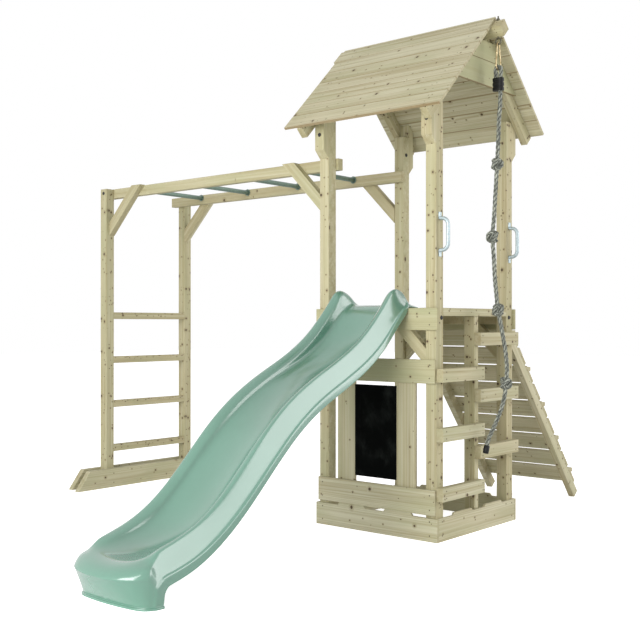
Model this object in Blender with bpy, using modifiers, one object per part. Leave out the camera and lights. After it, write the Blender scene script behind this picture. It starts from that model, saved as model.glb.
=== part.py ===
"""Timber play tower with a pitched roof, slide, monkey bars, climbing ramp and knotted rope.

Metres, +Z up. The tower's centre is the working origin: the slide leaves its -Y face, the ramp leans on
its +Y face, the steps and the rope are on its +X face and the monkey bars run out from its -X face.
The whole model hangs on one empty, which puts the origin under the middle of the assembled set.
"""

import math

import bmesh
import bpy
from mathutils import Matrix, Vector

# Clearances and edges
GAP = 0.0003            # between two pieces that touch
BITE = 0.003            # depth by which fused pieces run into each other
ARRIS = 0.002           # eased edge of sawn timber
DIAGONAL = math.sqrt(0.5)

# Timber sections
POST = 0.070
RAIL_THICK = 0.045      # framing timber, thin way
RAIL_DEEP = 0.070       # framing timber, deep way
BOARD = 0.016           # cladding boards

# Tower frame
TOWER_HALF = 0.422      # outer faces of the corner posts
POST_TOP = 2.456
CLEAT_LOW = 2.213       # tip of the cleat at the post
CLEAT_BEVEL = 0.047     # rise of the cleat's lower end to its outer face
DECK_TOP = 1.301
DECK_PLANK = 0.022
DECK_PLANKS = 7
DECK_PLANK_GAP = 0.005
SIDE_BEAM_DEEP = 0.045
FASCIA_DEEP = 0.125
KNEE_LOW = 0.975        # lower tip of the knee braces on the posts
STEP_POST_WIDE = 0.045

# Sandbox
SANDBOX_HIGH = 0.131
TAB_HIGH = 0.015        # rise of the tabs on the top edge
TAB_INNER = 0.075
TAB_OUTER = 0.260
TAB_SLOPE = 0.010

# Boards and chalkboard on the slide's side
UPPER_RAIL_LOW = 0.878
UPPER_RAIL_HIGH = 1.012
LOWER_RAIL_WIDE = 0.141
UPRIGHT_INNER = 0.150
UPRIGHT_WIDE = 0.133
CHALKBOARD_LOW = 0.318
CHALKBOARD_HIGH = 0.856
CHALKBOARD_THICK = 0.009

# Steps
STEP_HIGH = 0.076
STEP_RISE = 0.330
STEPS = 3
NEAR_STEP_TOP = 0.302
FAR_STEP_TOP = 0.500

# Grab handles
HANDLE_LOW = 1.586
HANDLE_HIGH = 1.835
HANDLE_TAB = 0.036
HANDLE_TAB_THICK = 0.004
HANDLE_TAB_WIDE = 0.026
HANDLE_TUBE = 0.022
HANDLE_OUT = 0.056      # tube's centreline from the post
HANDLE_BEND = 0.038
HANDLE_BEND_STEPS = 5

# Roof
RIDGE_TOP = 2.966       # upper corner of the ridge beam
RIDGE_SIDE = 0.070
RIDGE_FRONT = 0.612
RIDGE_BACK = -0.565
ROOF_FRONT = 0.552
ROOF_BACK = -0.564
ROOF_LENGTH = 0.820     # down the slope
ROOF_BOARDS = 7
ROOF_GROOVE = 0.003
TOP_BOARD_OUT = 0.020   # the near slope's top board runs out past the others
RAFTER_LENGTH = 0.828
GABLE_LOW = 2.604
GABLE_BOARD = 0.146
GABLE_TOP_GAP = 0.005

# Monkey bars
BARS_RAIL_LOW = 2.150
BARS_RAIL_PAST = 0.017  # past the inner faces of the tower's posts
LADDER_FRONT = -2.500   # inner faces of the ladder posts
LADDER_TOP = 2.217
BARS_RAIL_TAIL = 0.033  # past the outer faces of the ladder posts
BAR_FIRST = -2.250
BAR_PITCH = 0.505
BARS = 4
BAR_TUBE = 0.032
BAR_CENTRE = 2.197
BAR_FLANGE = 0.060
BAR_FLANGE_THICK = 0.004
BRACE_RISE = 0.002      # the braces' tops stand this far above the rails
LADDER_BRACE_LOW = 1.868
TOWER_BRACE_LOW = 1.885

# Ladder
RUNG_THICK = 0.045
RUNG_HIGH = 0.050
RUNG_FIRST = 0.308
RUNG_PITCH = 0.330
RUNGS = 4
BASE_BOARD_HIGH = 0.137
BASE_BOARD_THICK = 0.045
BASE_HALF_LOW = 0.705
BASE_HALF_HIGH = 0.600
BASE_BACK_SHORTER = 0.030   # at each end, against the board in front of the posts

# Ramp
RAMP_HALF = 0.3517      # fits between the posts
RAMP_ANGLE = math.radians(50.3)
RAMP_START = 0.0045     # the slats' face meets deck height this far from the fascia board
RAMP_STRINGER = 0.060
RAMP_SLAT_WIDE = 0.137
RAMP_SLAT_PITCH = 0.156
RAMP_SLATS = 10
FOOTHOLD_DEEP = 0.045
FOOTHOLD_HIGH = 0.028
FOOTHOLD_DROP = 0.010   # from a slat's upper edge, down the slope

# Slide, by distance out from the tower's centre
SLIDE_BED_HALF = 0.150
SLIDE_CREST_HALF = 0.200
SLIDE_SIDE_HALF = 0.235
SLIDE_FLANGE_HALF = 0.245
SLIDE_SKIN = 0.0165
SLIDE_DISH = 0.035
SLIDE_DISH_START = 0.450
SLIDE_DISH_GROWTH = 0.200
SLIDE_DISH_CURVE = ((0.0, 1.0), (0.35, 0.90), (0.70, 0.55))     # shares of the bed's half and of the dish
SLIDE_FLANGE_HIGH = 0.055   # from the skirt's edge up to the moulded line
SLIDE_FLANGE_STEP = 0.010
SLIDE_ROLL = 0.012          # rounding of the crest and of the skirt's edge
SLIDE_RISE = 0.022          # raises the low end, so that the foot stands on the ground
SLIDE_RISE_START = 1.200
SLIDE_RISE_END = 2.200
SLIDE_TOP_STATIONS = (
    0.340, 0.365, 0.394, 0.415, 0.4375, 0.444, 0.470, 0.500, 0.525, 0.550, 0.580, 0.620, 0.662, 0.708,
)
SLIDE_BODY_STATIONS = (0.780, 2.200, 19)    # first, last and how many
SLIDE_CREST = (
    (0.340, 1.321), (0.394, 1.334), (0.430, 1.380), (0.465, 1.402), (0.500, 1.410), (0.545, 1.394),
    (0.580, 1.355), (0.630, 1.300), (0.708, 1.225), (0.780, 1.162), (0.870, 1.100), (1.000, 1.030),
    (1.100, 0.984), (1.200, 0.938), (1.300, 0.886), (1.400, 0.824), (1.500, 0.748), (1.600, 0.658),
    (1.700, 0.553), (1.800, 0.454), (1.900, 0.368), (2.000, 0.303), (2.100, 0.258), (2.200, 0.228),
)
SLIDE_BED = (
    (0.340, 1.318), (0.440, 1.318), (0.520, 1.283), (0.610, 1.200), (0.708, 1.118), (0.870, 1.015),
    (1.000, 0.960), (1.197, 0.874), (1.400, 0.756), (1.600, 0.588), (1.669, 0.522), (1.764, 0.431),
    (1.878, 0.324), (1.977, 0.254), (2.094, 0.213), (2.200, 0.198),
)
SLIDE_SKIRT = (
    (0.444, 1.276), (0.550, 1.177), (0.650, 1.078), (0.750, 1.000), (0.850, 0.940), (1.000, 0.867),
    (1.100, 0.822), (1.200, 0.773), (1.300, 0.713), (1.400, 0.638), (1.500, 0.548), (1.600, 0.452),
    (1.700, 0.355), (1.800, 0.267), (1.900, 0.193), (2.000, 0.134), (2.100, 0.093), (2.200, 0.068),
)
# The low end past the last station: how the section turns down over the nose to the foot, from its middle
# to its lower edge, as (x, distance out, height)
SLIDE_NOSE = (
    (
        (0.0, 2.265, 0.185), (0.0525, 2.264, 0.187), (0.105, 2.262, 0.195), (0.150, 2.258, 0.210),
        (0.170, 2.254, 0.221), (0.188, 2.250, 0.228), (0.201, 2.247, 0.234), (0.214, 2.243, 0.226),
        (0.236, 2.234, 0.139), (0.246, 2.230, 0.128), (0.246, 2.219, 0.080),
    ),
    (
        (0.0, 2.325, 0.187), (0.0535, 2.324, 0.189), (0.107, 2.321, 0.193), (0.153, 2.315, 0.198),
        (0.178, 2.305, 0.198), (0.196, 2.297, 0.197), (0.210, 2.289, 0.197), (0.224, 2.280, 0.190),
        (0.241, 2.262, 0.125), (0.249, 2.252, 0.112), (0.247, 2.231, 0.064),
    ),
    (
        (0.0, 2.385, 0.170), (0.056, 2.383, 0.171), (0.110, 2.377, 0.173), (0.157, 2.367, 0.174),
        (0.187, 2.354, 0.176), (0.209, 2.343, 0.176), (0.226, 2.328, 0.177), (0.239, 2.306, 0.173),
        (0.245, 2.278, 0.112), (0.251, 2.268, 0.098), (0.248, 2.236, 0.050),
    ),
    (
        (0.0, 2.420, 0.136), (0.060, 2.418, 0.136), (0.115, 2.411, 0.138), (0.162, 2.398, 0.140),
        (0.194, 2.382, 0.141), (0.216, 2.364, 0.141), (0.233, 2.343, 0.140), (0.244, 2.321, 0.136),
        (0.248, 2.291, 0.098), (0.252, 2.280, 0.086), (0.248, 2.237, 0.040),
    ),
)
SLIDE_FOOT = (
    (0.0, 2.346), (0.052, 2.345), (0.104, 2.342), (0.150, 2.337), (0.176, 2.333), (0.197, 2.327),
    (0.213, 2.318), (0.225, 2.306), (0.233, 2.290), (0.241, 2.281), (0.243, 2.237),
)
FOOT_BACK = 2.237
FOOT_BACK_HIGH = 0.045      # how far the foot's back rises at its middle, above its sides
FOOT_SHARES = (0.12, 0.45)  # sections between the nose's edge and the foot's lip
FOOT_LIP = 0.008
FOOT_LIP_HIGH = 0.009
FOOT_LIP_SLOPE = 0.002

# Rope and its hanger
HANGER_X = 0.570
EYE_RADIUS = 0.017
EYE_WIRE = 0.005
EYE_DROP = 0.002        # from the beam's lower corner to the ring
EYE_SHANK = 0.0044
EYE_NUT = 0.009
EYE_NUT_HIGH = 0.008
EYE_THREAD_UP = 0.012   # shank above the nut
EYE_WASHER = 0.012
EYE_WASHER_THICK = 0.002
LINK_LONG = 0.165
LINK_WIRE = 0.004
LINK_HIGH_BEND = 0.011  # radius of the wire's centreline at the eye
LINK_LOW_BEND = 0.026   # and at the rope
LINK_SLACK = 0.0005
LINK_BEND_STEPS = 12
ROPE_RADIUS = 0.013
ROPE_LEG_HALF = 0.0145  # half the distance between the two legs in the clamp
CLAMP_TOP = 2.630
CLAMP_LOW = 2.557
CLAMP_CORE = 0.0175
CLAMP_RIB = 0.0205
CLAMP_RIB_HIGH = 0.017
CLAMP_RIBS = 3
KNOT_RADIUS = 0.037
KNOT_HALF = 0.042
KNOT_CENTRES = (2.133, 1.712, 1.291, 0.870)
END_CAP_RADIUS = 0.017
END_CAP_LONG = 0.046
END_CAP_LIP = 0.003
ROPE_STATIONS = 61
BIGHT_STEPS = 8
# Where the hanging rope runs, from under the clamp down to the end cap
ROPE_ROUTE = (
    (HANGER_X + ROPE_LEG_HALF, 0.000, 2.549), (0.580, 0.002, 2.470), (0.573, 0.001, 2.386), (0.570, 0.000, 2.271),
    (0.567, -0.009, 2.133), (0.563, -0.018, 1.985), (0.559, -0.029, 1.835), (0.555, -0.040, 1.712),
    (0.558, -0.032, 1.600), (0.561, -0.024, 1.470), (0.565, -0.014, 1.377), (0.570, -0.004, 1.291),
    (0.588, 0.009, 1.170), (0.605, 0.019, 1.050), (0.612, 0.023, 0.950), (0.606, 0.019, 0.870),
    (0.603, 0.017, 0.812), (0.588, 0.006, 0.731), (0.568, -0.016, 0.656), (0.550, -0.052, 0.580),
    (0.544, -0.072, 0.547), (0.542, -0.081, 0.515),
)

# Sizes that follow
POST_INNER = TOWER_HALF - POST
CLAD = TOWER_HALF + BOARD
RIDGE_AXIS = RIDGE_TOP - RIDGE_SIDE * DIAGONAL
RIDGE_LOW = RIDGE_TOP - 2 * RIDGE_SIDE * DIAGONAL
BARS_RAIL_HIGH = BARS_RAIL_LOW + RAIL_DEEP
LADDER_BACK = LADDER_FRONT - POST
BASE_BACK = LADDER_BACK - BASE_BOARD_THICK
JOIST_TOP = DECK_TOP - DECK_PLANK
JOIST_LOW = JOIST_TOP - RAIL_DEEP
EYE_CENTRE = RIDGE_LOW - EYE_DROP - EYE_WIRE - EYE_RADIUS
LINK_TOP = EYE_CENTRE - EYE_RADIUS + EYE_WIRE + LINK_WIRE + LINK_SLACK
LINK_BOTTOM = LINK_TOP - LINK_LONG + 2 * LINK_WIRE
ROPE_HINGE = LINK_BOTTOM + LINK_LOW_BEND
BIGHT_RADIUS = ROPE_RADIUS + LINK_WIRE + GAP


def ramp_point(down, out):
    """(y, z) of a point that lies down the ramp's slope and out from the slats' face."""
    across, fall = math.cos(RAMP_ANGLE), math.sin(RAMP_ANGLE)
    start = CLAD + RAMP_START
    return start + down * across + out * fall, DECK_TOP - down * fall + out * across


RAMP_DEEP = BOARD + RAMP_STRINGER
RAMP_LENGTH = (DECK_TOP - RAMP_DEEP * math.cos(RAMP_ANGLE)) / math.sin(RAMP_ANGLE)
CENTRE_X = (BASE_BACK + RIDGE_FRONT) / 2
CENTRE_Y = (ramp_point(RAMP_LENGTH, -BOARD)[0] - SLIDE_NOSE[-1][0][1]) / 2


def clear_scene():
    for obj in list(bpy.data.objects):
        bpy.data.objects.remove(obj, do_unlink=True)


def new_collection(name):
    collection = bpy.data.collections.new(name)
    bpy.context.scene.collection.children.link(collection)
    return collection


def new_material(name, colour, roughness, metallic=0.0):
    material = bpy.data.materials.new(name)
    material.use_nodes = True
    shader = material.node_tree.nodes["Principled BSDF"]
    shader.inputs["Base Color"].default_value = (*colour, 1.0)
    shader.inputs["Roughness"].default_value = roughness
    shader.inputs["Metallic"].default_value = metallic
    return material


clear_scene()
PARTS = new_collection("play_tower")
CUTTERS = new_collection("cutters")
ORIGIN = bpy.data.objects.new("play_tower_origin", None)
ORIGIN.location = (-CENTRE_X, -CENTRE_Y, 0.0)
PARTS.objects.link(ORIGIN)
PINE = new_material("pine", (0.62, 0.57, 0.39), 0.65)
PALE_PINE = new_material("pale_pine", (0.70, 0.65, 0.48), 0.65)
MINT = new_material("mint_plastic", (0.30, 0.62, 0.45), 0.35)
STEEL = new_material("galvanised_steel", (0.60, 0.63, 0.65), 0.35, 1.0)
BRASS = new_material("brass", (0.75, 0.50, 0.25), 0.35, 1.0)
BLACK = new_material("black_plastic", (0.02, 0.02, 0.02), 0.5)
SLATE = new_material("chalkboard", (0.05, 0.05, 0.05), 0.8)
ROPE = new_material("rope", (0.20, 0.22, 0.23), 0.9)


# Building blocks
def add_object(name, mesh, matrix, material):
    mesh.name = name
    mesh.materials.clear()
    mesh.materials.append(material)
    obj = bpy.data.objects.new(name, mesh)
    PARTS.objects.link(obj)
    obj.parent = ORIGIN
    obj.matrix_local = matrix
    return obj


def ease_edges(obj, width):
    bevel = obj.modifiers.new("eased edges", "BEVEL")
    bevel.width = width
    bevel.segments = 1
    bevel.limit_method = "ANGLE"
    bevel.angle_limit = math.radians(40)


def box(name, x, y, z, material=PINE, arris=ARRIS):
    """A block between two places on each axis, with its origin at its middle."""
    mesh = bpy.data.meshes.new(name)
    shape = bmesh.new()
    bmesh.ops.create_cube(shape, size=1.0)
    bmesh.ops.scale(shape, vec=(x[1] - x[0], y[1] - y[0], z[1] - z[0]), verts=shape.verts)
    shape.to_mesh(mesh)
    shape.free()
    middle = Vector((sum(x) / 2, sum(y) / 2, sum(z) / 2))
    obj = add_object(name, mesh, Matrix.Translation(middle), material)
    if arris:
        ease_edges(obj, arris)
    return obj


def mesh_from_curve(curve, name):
    """The curve's evaluated mesh with its caps welded on."""
    holder = bpy.data.objects.new(name, curve)
    CUTTERS.objects.link(holder)
    depsgraph = bpy.context.evaluated_depsgraph_get()
    mesh = bpy.data.meshes.new_from_object(holder.evaluated_get(depsgraph))
    bpy.data.objects.remove(holder, do_unlink=True)
    shape = bmesh.new()
    shape.from_mesh(mesh)
    bmesh.ops.remove_doubles(shape, verts=shape.verts, dist=0.00001)
    bmesh.ops.recalc_face_normals(shape, faces=shape.faces)
    shape.to_mesh(mesh)
    shape.free()
    return mesh


def plate(name, outline, thickness, matrix, material=PINE, arris=ARRIS):
    """A flat outline with a thickness, centred on the matrix's own XY plane."""
    curve = bpy.data.curves.new(name, "CURVE")
    curve.dimensions = "2D"
    curve.fill_mode = "BOTH"
    curve.extrude = thickness / 2
    spline = curve.splines.new("POLY")
    spline.points.add(len(outline) - 1)
    for point, (u, v) in zip(spline.points, outline):
        point.co = (u, v, 0.0, 1.0)
    spline.use_cyclic_u = True
    obj = add_object(name, mesh_from_curve(curve, name), matrix, material)
    if arris:
        ease_edges(obj, arris)
    return obj


def facing_x(x):
    """Outline's (u, v) become (y, z) at this x."""
    return Matrix(((0, 0, 1, x), (1, 0, 0, 0), (0, 1, 0, 0), (0, 0, 0, 1)))


def facing_y(y):
    """Outline's (u, v) become (x, z) at this y."""
    return Matrix(((1, 0, 0, 0), (0, 0, -1, y), (0, 1, 0, 0), (0, 0, 0, 1)))


def facing_z(z):
    return Matrix.Translation((0, 0, z))


def down_slope(side, x):
    """Outline's u runs down a roof slope from the ridge and v stands off its rafters."""
    return Matrix((
        (0, 0, side, x),
        (side * DIAGONAL, side * DIAGONAL, 0, 0),
        (-DIAGONAL, DIAGONAL, 0, RIDGE_TOP),
        (0, 0, 0, 1),
    ))


def tube(name, points, radius, matrix, material, radii=None, closed=False, sides=2):
    """A round bar or rope along points, with filled ends."""
    curve = bpy.data.curves.new(name, "CURVE")
    curve.dimensions = "3D"
    curve.bevel_depth = radius
    curve.bevel_resolution = sides
    curve.use_fill_caps = True
    spline = curve.splines.new("POLY")
    spline.points.add(len(points) - 1)
    for index, (point, place) in enumerate(zip(spline.points, points)):
        point.co = (*place, 1.0)
        point.radius = radii[index] if radii else 1.0
    spline.use_cyclic_u = closed
    mesh = mesh_from_curve(curve, name)
    mesh.shade_smooth()
    return add_object(name, mesh, matrix, material)


def turned(name, profile, steps, matrix, material):
    """A profile of (radius, height) points, turned about the matrix's own Z axis."""
    mesh = bpy.data.meshes.new(name)
    shape = bmesh.new()
    points = [shape.verts.new((radius, 0.0, height)) for radius, height in profile]
    for first, second in zip(points, points[1:]):
        shape.edges.new((first, second))
    shape.to_mesh(mesh)
    shape.free()
    obj = add_object(name, mesh, matrix, material)
    screw = obj.modifiers.new("turned", "SCREW")
    screw.steps = steps
    screw.render_steps = steps
    screw.use_merge_vertices = True
    screw.merge_threshold = 0.00001
    return obj


def as_cutter(obj):
    for collection in list(obj.users_collection):
        collection.objects.unlink(obj)
    CUTTERS.objects.link(obj)
    obj.hide_render = True
    obj.display_type = "WIRE"
    return obj


def combine(obj, other, operation):
    as_cutter(other)
    boolean = obj.modifiers.new(operation.lower(), "BOOLEAN")
    boolean.operation = operation
    boolean.solver = "EXACT"
    boolean.object = other


def fuse(obj, *others):
    for other in others:
        combine(obj, other, "UNION")


def cut(obj, *others):
    for other in others:
        combine(obj, other, "DIFFERENCE")


# Tower frame
def knee_brace(side_x, side_y):
    """A 45 degree brace from a post's inner face up to the joist, in line with the post."""
    inner = side_x * (POST_INNER + BITE)
    wide = RAIL_DEEP / DIAGONAL
    top = JOIST_LOW - GAP
    low = KNEE_LOW - BITE
    outline = (
        (inner, low),
        (inner, low + wide),
        (inner - side_x * (top - low - wide), top),
        (inner - side_x * (top - low), top),
    )
    middle = side_y * (TOWER_HALF - RAIL_THICK / 2)
    return plate("knee", outline, RAIL_THICK - 2 * GAP, facing_y(middle))


def cleat(side_x, side_y):
    """The block outside a post that carries the rafter up under the roof boards."""
    inner = TOWER_HALF - BITE
    outer = TOWER_HALF + RAIL_THICK
    outline = (
        (side_y * inner, CLEAT_LOW - BITE),
        (side_y * outer, CLEAT_LOW + CLEAT_BEVEL),
        (side_y * outer, RIDGE_TOP - outer - 2 * GAP),
        (side_y * inner, RIDGE_TOP - inner - 2 * GAP),
    )
    middle = side_x * (TOWER_HALF - POST / 2)
    return plate("cleat", outline, POST, facing_x(middle))


def span(side, low, high):
    """A range that lies on one side of the centre."""
    return (low, high) if side > 0 else (-high, -low)


def corner_posts():
    for side_x, name_x in ((1, "front"), (-1, "back")):
        for side_y, name_y in ((-1, "slide"), (1, "ramp")):
            post = box(
                f"post_{name_x}_{name_y}_side",
                span(side_x, POST_INNER, TOWER_HALF),
                span(side_y, POST_INNER, TOWER_HALF),
                (0.0, POST_TOP),
            )
            fuse(post, cleat(side_x, side_y), knee_brace(side_x, side_y))


def deck():
    inner = POST_INNER - GAP
    for side, name in ((1, "front"), (-1, "back")):
        beam_x = span(side, POST_INNER, TOWER_HALF)
        box(f"deck_beam_{name}", beam_x, (-inner, inner), (DECK_TOP - SIDE_BEAM_DEEP, DECK_TOP))
    pitch = (2 * inner + DECK_PLANK_GAP) / DECK_PLANKS
    outer = TOWER_HALF - GAP
    planks = []
    for index in range(DECK_PLANKS):
        start = -inner + index * pitch
        across = (start, start + pitch - DECK_PLANK_GAP)
        planks.append(box("plank", across, (-outer, outer), (JOIST_TOP - BITE, DECK_TOP), PALE_PINE))
    joist_places = (BITE - outer + RAIL_THICK / 2, 0.0, outer - BITE - RAIL_THICK / 2)
    joists = []
    for place in joist_places:
        along = (place - RAIL_THICK / 2, place + RAIL_THICK / 2)
        joists.append(box("joist", (BITE - inner, inner - BITE), along, (JOIST_LOW, JOIST_TOP)))
    floor = planks[0]
    floor.name = "deck"
    fuse(floor, *joists, *planks[1:])
    for side, name in ((-1, "slide"), (1, "ramp")):
        fascia_y = span(side, TOWER_HALF + GAP, CLAD)
        box(f"fascia_{name}_side", (-CLAD, CLAD), fascia_y, (DECK_TOP - FASCIA_DEEP, DECK_TOP))
    half = STEP_POST_WIDE / 2
    top = DECK_TOP - SIDE_BEAM_DEEP - GAP
    box("step_post", (POST_INNER, TOWER_HALF), (-half, half), (0.0, top))


def sandbox():
    """Four boards round the foot, each with two raised tabs on its top edge."""
    high = SANDBOX_HIGH + TAB_HIGH
    for half, matrix, name in (
        (CLAD, facing_y(-TOWER_HALF - BOARD / 2 - GAP), "slide_side"),
        (CLAD, facing_y(TOWER_HALF + BOARD / 2 + GAP), "ramp_side"),
        (TOWER_HALF - GAP, facing_x(TOWER_HALF + BOARD / 2 + GAP), "front"),
        (TOWER_HALF - GAP, facing_x(-TOWER_HALF - BOARD / 2 - GAP), "back"),
    ):
        outline = [(-half, 0.0), (half, 0.0), (half, SANDBOX_HIGH)]
        for side in (1, -1):
            ends = [(TAB_OUTER + TAB_SLOPE, SANDBOX_HIGH), (TAB_OUTER, high)]
            ends += [(TAB_INNER, high), (TAB_INNER - TAB_SLOPE, SANDBOX_HIGH)]
            outline += [(side * across, level) for across, level in (ends if side > 0 else reversed(ends))]
        outline.append((-half, SANDBOX_HIGH))
        plate(f"sandbox_{name}", outline, BOARD - GAP, matrix)


def slide_side_boards():
    clad_y = (-CLAD, -TOWER_HALF - GAP)
    box("upper_rail_board", (-TOWER_HALF, TOWER_HALF), clad_y, (UPPER_RAIL_LOW, UPPER_RAIL_HIGH))
    low = SANDBOX_HIGH + TAB_HIGH + GAP
    box("lower_rail_board", (-TOWER_HALF, TOWER_HALF), clad_y, (low, low + LOWER_RAIL_WIDE))
    upright_y = (-TOWER_HALF, -TOWER_HALF + BOARD)
    for side, name in ((-1, "left"), (1, "right")):
        across = span(side, UPRIGHT_INNER, UPRIGHT_INNER + UPRIGHT_WIDE)
        box(f"upright_{name}", across, upright_y, (low, UPPER_RAIL_HIGH))
    half = UPRIGHT_INNER - GAP
    board_y = (-TOWER_HALF, -TOWER_HALF + CHALKBOARD_THICK)
    box("chalkboard", (-half, half), board_y, (CHALKBOARD_LOW, CHALKBOARD_HIGH), SLATE, 0.0)


def steps():
    thick = (TOWER_HALF + GAP, TOWER_HALF + RAIL_THICK)
    half = STEP_POST_WIDE / 2
    for first, name, along in (
        (NEAR_STEP_TOP, "near", (-TOWER_HALF, half)),
        (FAR_STEP_TOP, "far", (-half, TOWER_HALF)),
    ):
        for index in range(STEPS):
            top = first + index * STEP_RISE
            box(f"step_{name}_{index + 1}", thick, along, (top - STEP_HIGH, top))


def grab_handles():
    tab_x = (TOWER_HALF + GAP, TOWER_HALF + GAP + HANDLE_TAB_THICK)
    root = TOWER_HALF + GAP + HANDLE_TAB_THICK / 2
    out = TOWER_HALF + HANDLE_OUT
    low = HANDLE_LOW + HANDLE_TAB
    high = HANDLE_HIGH - HANDLE_TAB
    for side, name in ((-1, "slide"), (1, "ramp")):
        place = side * (TOWER_HALF - POST / 2)
        points = [(root, place, low)]
        for centre, start in ((low + HANDLE_BEND, -90), (high - HANDLE_BEND, 0)):
            for step in range(HANDLE_BEND_STEPS + 1):
                turn = math.radians(start + 90 * step / HANDLE_BEND_STEPS)
                across = out - HANDLE_BEND + HANDLE_BEND * math.cos(turn)
                points.append((across, place, centre + HANDLE_BEND * math.sin(turn)))
        points.append((root, place, high))
        handle = tube(f"handle_{name}_side", points, HANDLE_TUBE / 2, Matrix(), STEEL, sides=3)
        half = HANDLE_TAB_WIDE / 2
        across = (place - half, place + half)
        lower = box("tab", tab_x, across, (HANDLE_LOW, low + BITE), STEEL, 0.0)
        upper = box("tab", tab_x, across, (high - BITE, HANDLE_HIGH), STEEL, 0.0)
        fuse(handle, lower, upper)


# Roof
def roof():
    middle = (RIDGE_BACK + RIDGE_FRONT) / 2
    half = RIDGE_SIDE / 2
    beam = box(
        "ridge_beam",
        (-(RIDGE_FRONT - RIDGE_BACK) / 2, (RIDGE_FRONT - RIDGE_BACK) / 2),
        (-half, half),
        (-half, half),
    )
    turn = Matrix.Rotation(math.radians(45), 4, "X")
    beam.matrix_local = Matrix.Translation((middle, 0, RIDGE_AXIS)) @ turn
    hole = EYE_SHANK + GAP
    profile = ((0.0, RIDGE_SIDE), (hole, RIDGE_SIDE), (hole, -RIDGE_SIDE), (0.0, -RIDGE_SIDE))
    cut(beam, turned("bolt hole", profile, 16, Matrix.Translation((HANGER_X, 0, RIDGE_AXIS)), PINE))
    for side, name in ((-1, "slide"), (1, "ramp")):
        lap = BOARD + GAP if side > 0 else -GAP
        roof_slope(f"roof_{name}_side", side, lap)
        for end, place in ((1, "front"), (-1, "back")):
            outline = (
                (RIDGE_SIDE + GAP, -GAP),
                (RIDGE_SIDE + GAP, -RAIL_DEEP),
                (RAFTER_LENGTH, -RAIL_DEEP),
                (RAFTER_LENGTH, -GAP),
            )
            middle = end * (TOWER_HALF + GAP + RAIL_THICK / 2)
            matrix = down_slope(side, middle)
            plate(f"rafter_{place}_{name}_side", outline, RAIL_THICK - 2 * GAP, matrix)
    for end, place in ((1, "front"), (-1, "back")):
        gable(f"gable_{place}", end)


def roof_slope(name, side, lap):
    """Tongued boards laid along the slope, with a V groove at each joint on the outer face."""
    pitch = ROOF_LENGTH / ROOF_BOARDS
    outline = [(-lap, GAP), (ROOF_LENGTH, GAP), (ROOF_LENGTH, BOARD)]
    for joint in range(ROOF_BOARDS - 1, 0, -1):
        place = joint * pitch
        outline += [(place + ROOF_GROOVE, BOARD), (place, BOARD - ROOF_GROOVE), (place - ROOF_GROOVE, BOARD)]
    outline.append((-lap, BOARD))
    middle = (ROOF_BACK + ROOF_FRONT) / 2
    slope = plate(name, outline, ROOF_FRONT - ROOF_BACK, down_slope(side, middle), PALE_PINE, 0.0)
    if side < 0:
        low = pitch - ROOF_GROOVE
        top = ((-lap, GAP), (low, GAP), (low, BOARD), (-lap, BOARD))
        length = TOP_BOARD_OUT + BITE
        place = ROOF_BACK + BITE - length / 2
        fuse(slope, plate("top board end", top, length, down_slope(side, place), PALE_PINE, 0.0))


def gable(name, end):
    """Two level boards under the roof slopes, outside the rafters."""
    high = RIDGE_LOW - GABLE_TOP_GAP
    clear = GAP / DIAGONAL
    outline = (
        (-(RIDGE_TOP - GABLE_LOW - clear), GABLE_LOW),
        (RIDGE_TOP - GABLE_LOW - clear, GABLE_LOW),
        (RIDGE_TOP - high - clear, high),
        (-(RIDGE_TOP - high - clear), high),
    )
    inner = TOWER_HALF + RAIL_THICK + GAP
    middle = end * (inner + GAP + BOARD / 2)
    panel = plate(name, outline, BOARD, facing_x(middle), PALE_PINE, 0.0)
    joint = GABLE_LOW + GABLE_BOARD
    face = inner + GAP + BOARD
    groove = box(
        "gable groove",
        span(end, face - ROOF_GROOVE, face + ROOF_GROOVE),
        (-TOWER_HALF, TOWER_HALF),
        (joint - ROOF_GROOVE / 2, joint + ROOF_GROOVE / 2),
        arris=0.0,
    )
    cut(panel, groove)


# Monkey bars and their ladder
def monkey_bars():
    start = LADDER_BACK - BARS_RAIL_TAIL
    end = -POST_INNER + BARS_RAIL_PAST
    wide = RAIL_DEEP / DIAGONAL
    top = BARS_RAIL_HIGH + BRACE_RISE
    outer = POST_INNER - GAP
    inner = outer - RAIL_THICK
    for side, name in ((-1, "near"), (1, "far")):
        rail = box(f"bars_rail_{name}", (start, end), span(side, inner, outer), (BARS_RAIL_LOW, BARS_RAIL_HIGH))
        braces = []
        for foot, low, way in (
            (LADDER_FRONT + GAP, LADDER_BRACE_LOW, 1),
            (-TOWER_HALF - GAP, TOWER_BRACE_LOW, -1),
        ):
            outline = (
                (foot, low),
                (foot + way * (top - low), top),
                (foot + way * (top - low - wide), top),
                (foot, low + wide),
            )
            middle = side * (outer - BITE / 2 + RAIL_THICK / 2)
            braces.append(plate("brace", outline, RAIL_THICK + BITE, facing_y(middle)))
        fuse(rail, *braces)
        ladder_y = span(side, POST_INNER, TOWER_HALF)
        box(f"ladder_post_{name}", (LADDER_BACK, LADDER_FRONT), ladder_y, (0.0, LADDER_TOP))
    half = inner - GAP
    tube_radius = BAR_TUBE / 2
    flange = BAR_FLANGE / 2
    profile = (
        (0.0, half), (flange, half), (flange, half - BAR_FLANGE_THICK), (tube_radius, half - BAR_FLANGE_THICK),
        (tube_radius, BAR_FLANGE_THICK - half), (flange, BAR_FLANGE_THICK - half), (flange, -half), (0.0, -half),
    )
    across = Matrix.Rotation(math.radians(90), 4, "X")
    for index in range(BARS):
        place = Matrix.Translation((BAR_FIRST + index * BAR_PITCH, 0, BAR_CENTRE))
        turned(f"bar_{index + 1}", profile, 20, place @ across, STEEL)


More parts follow.
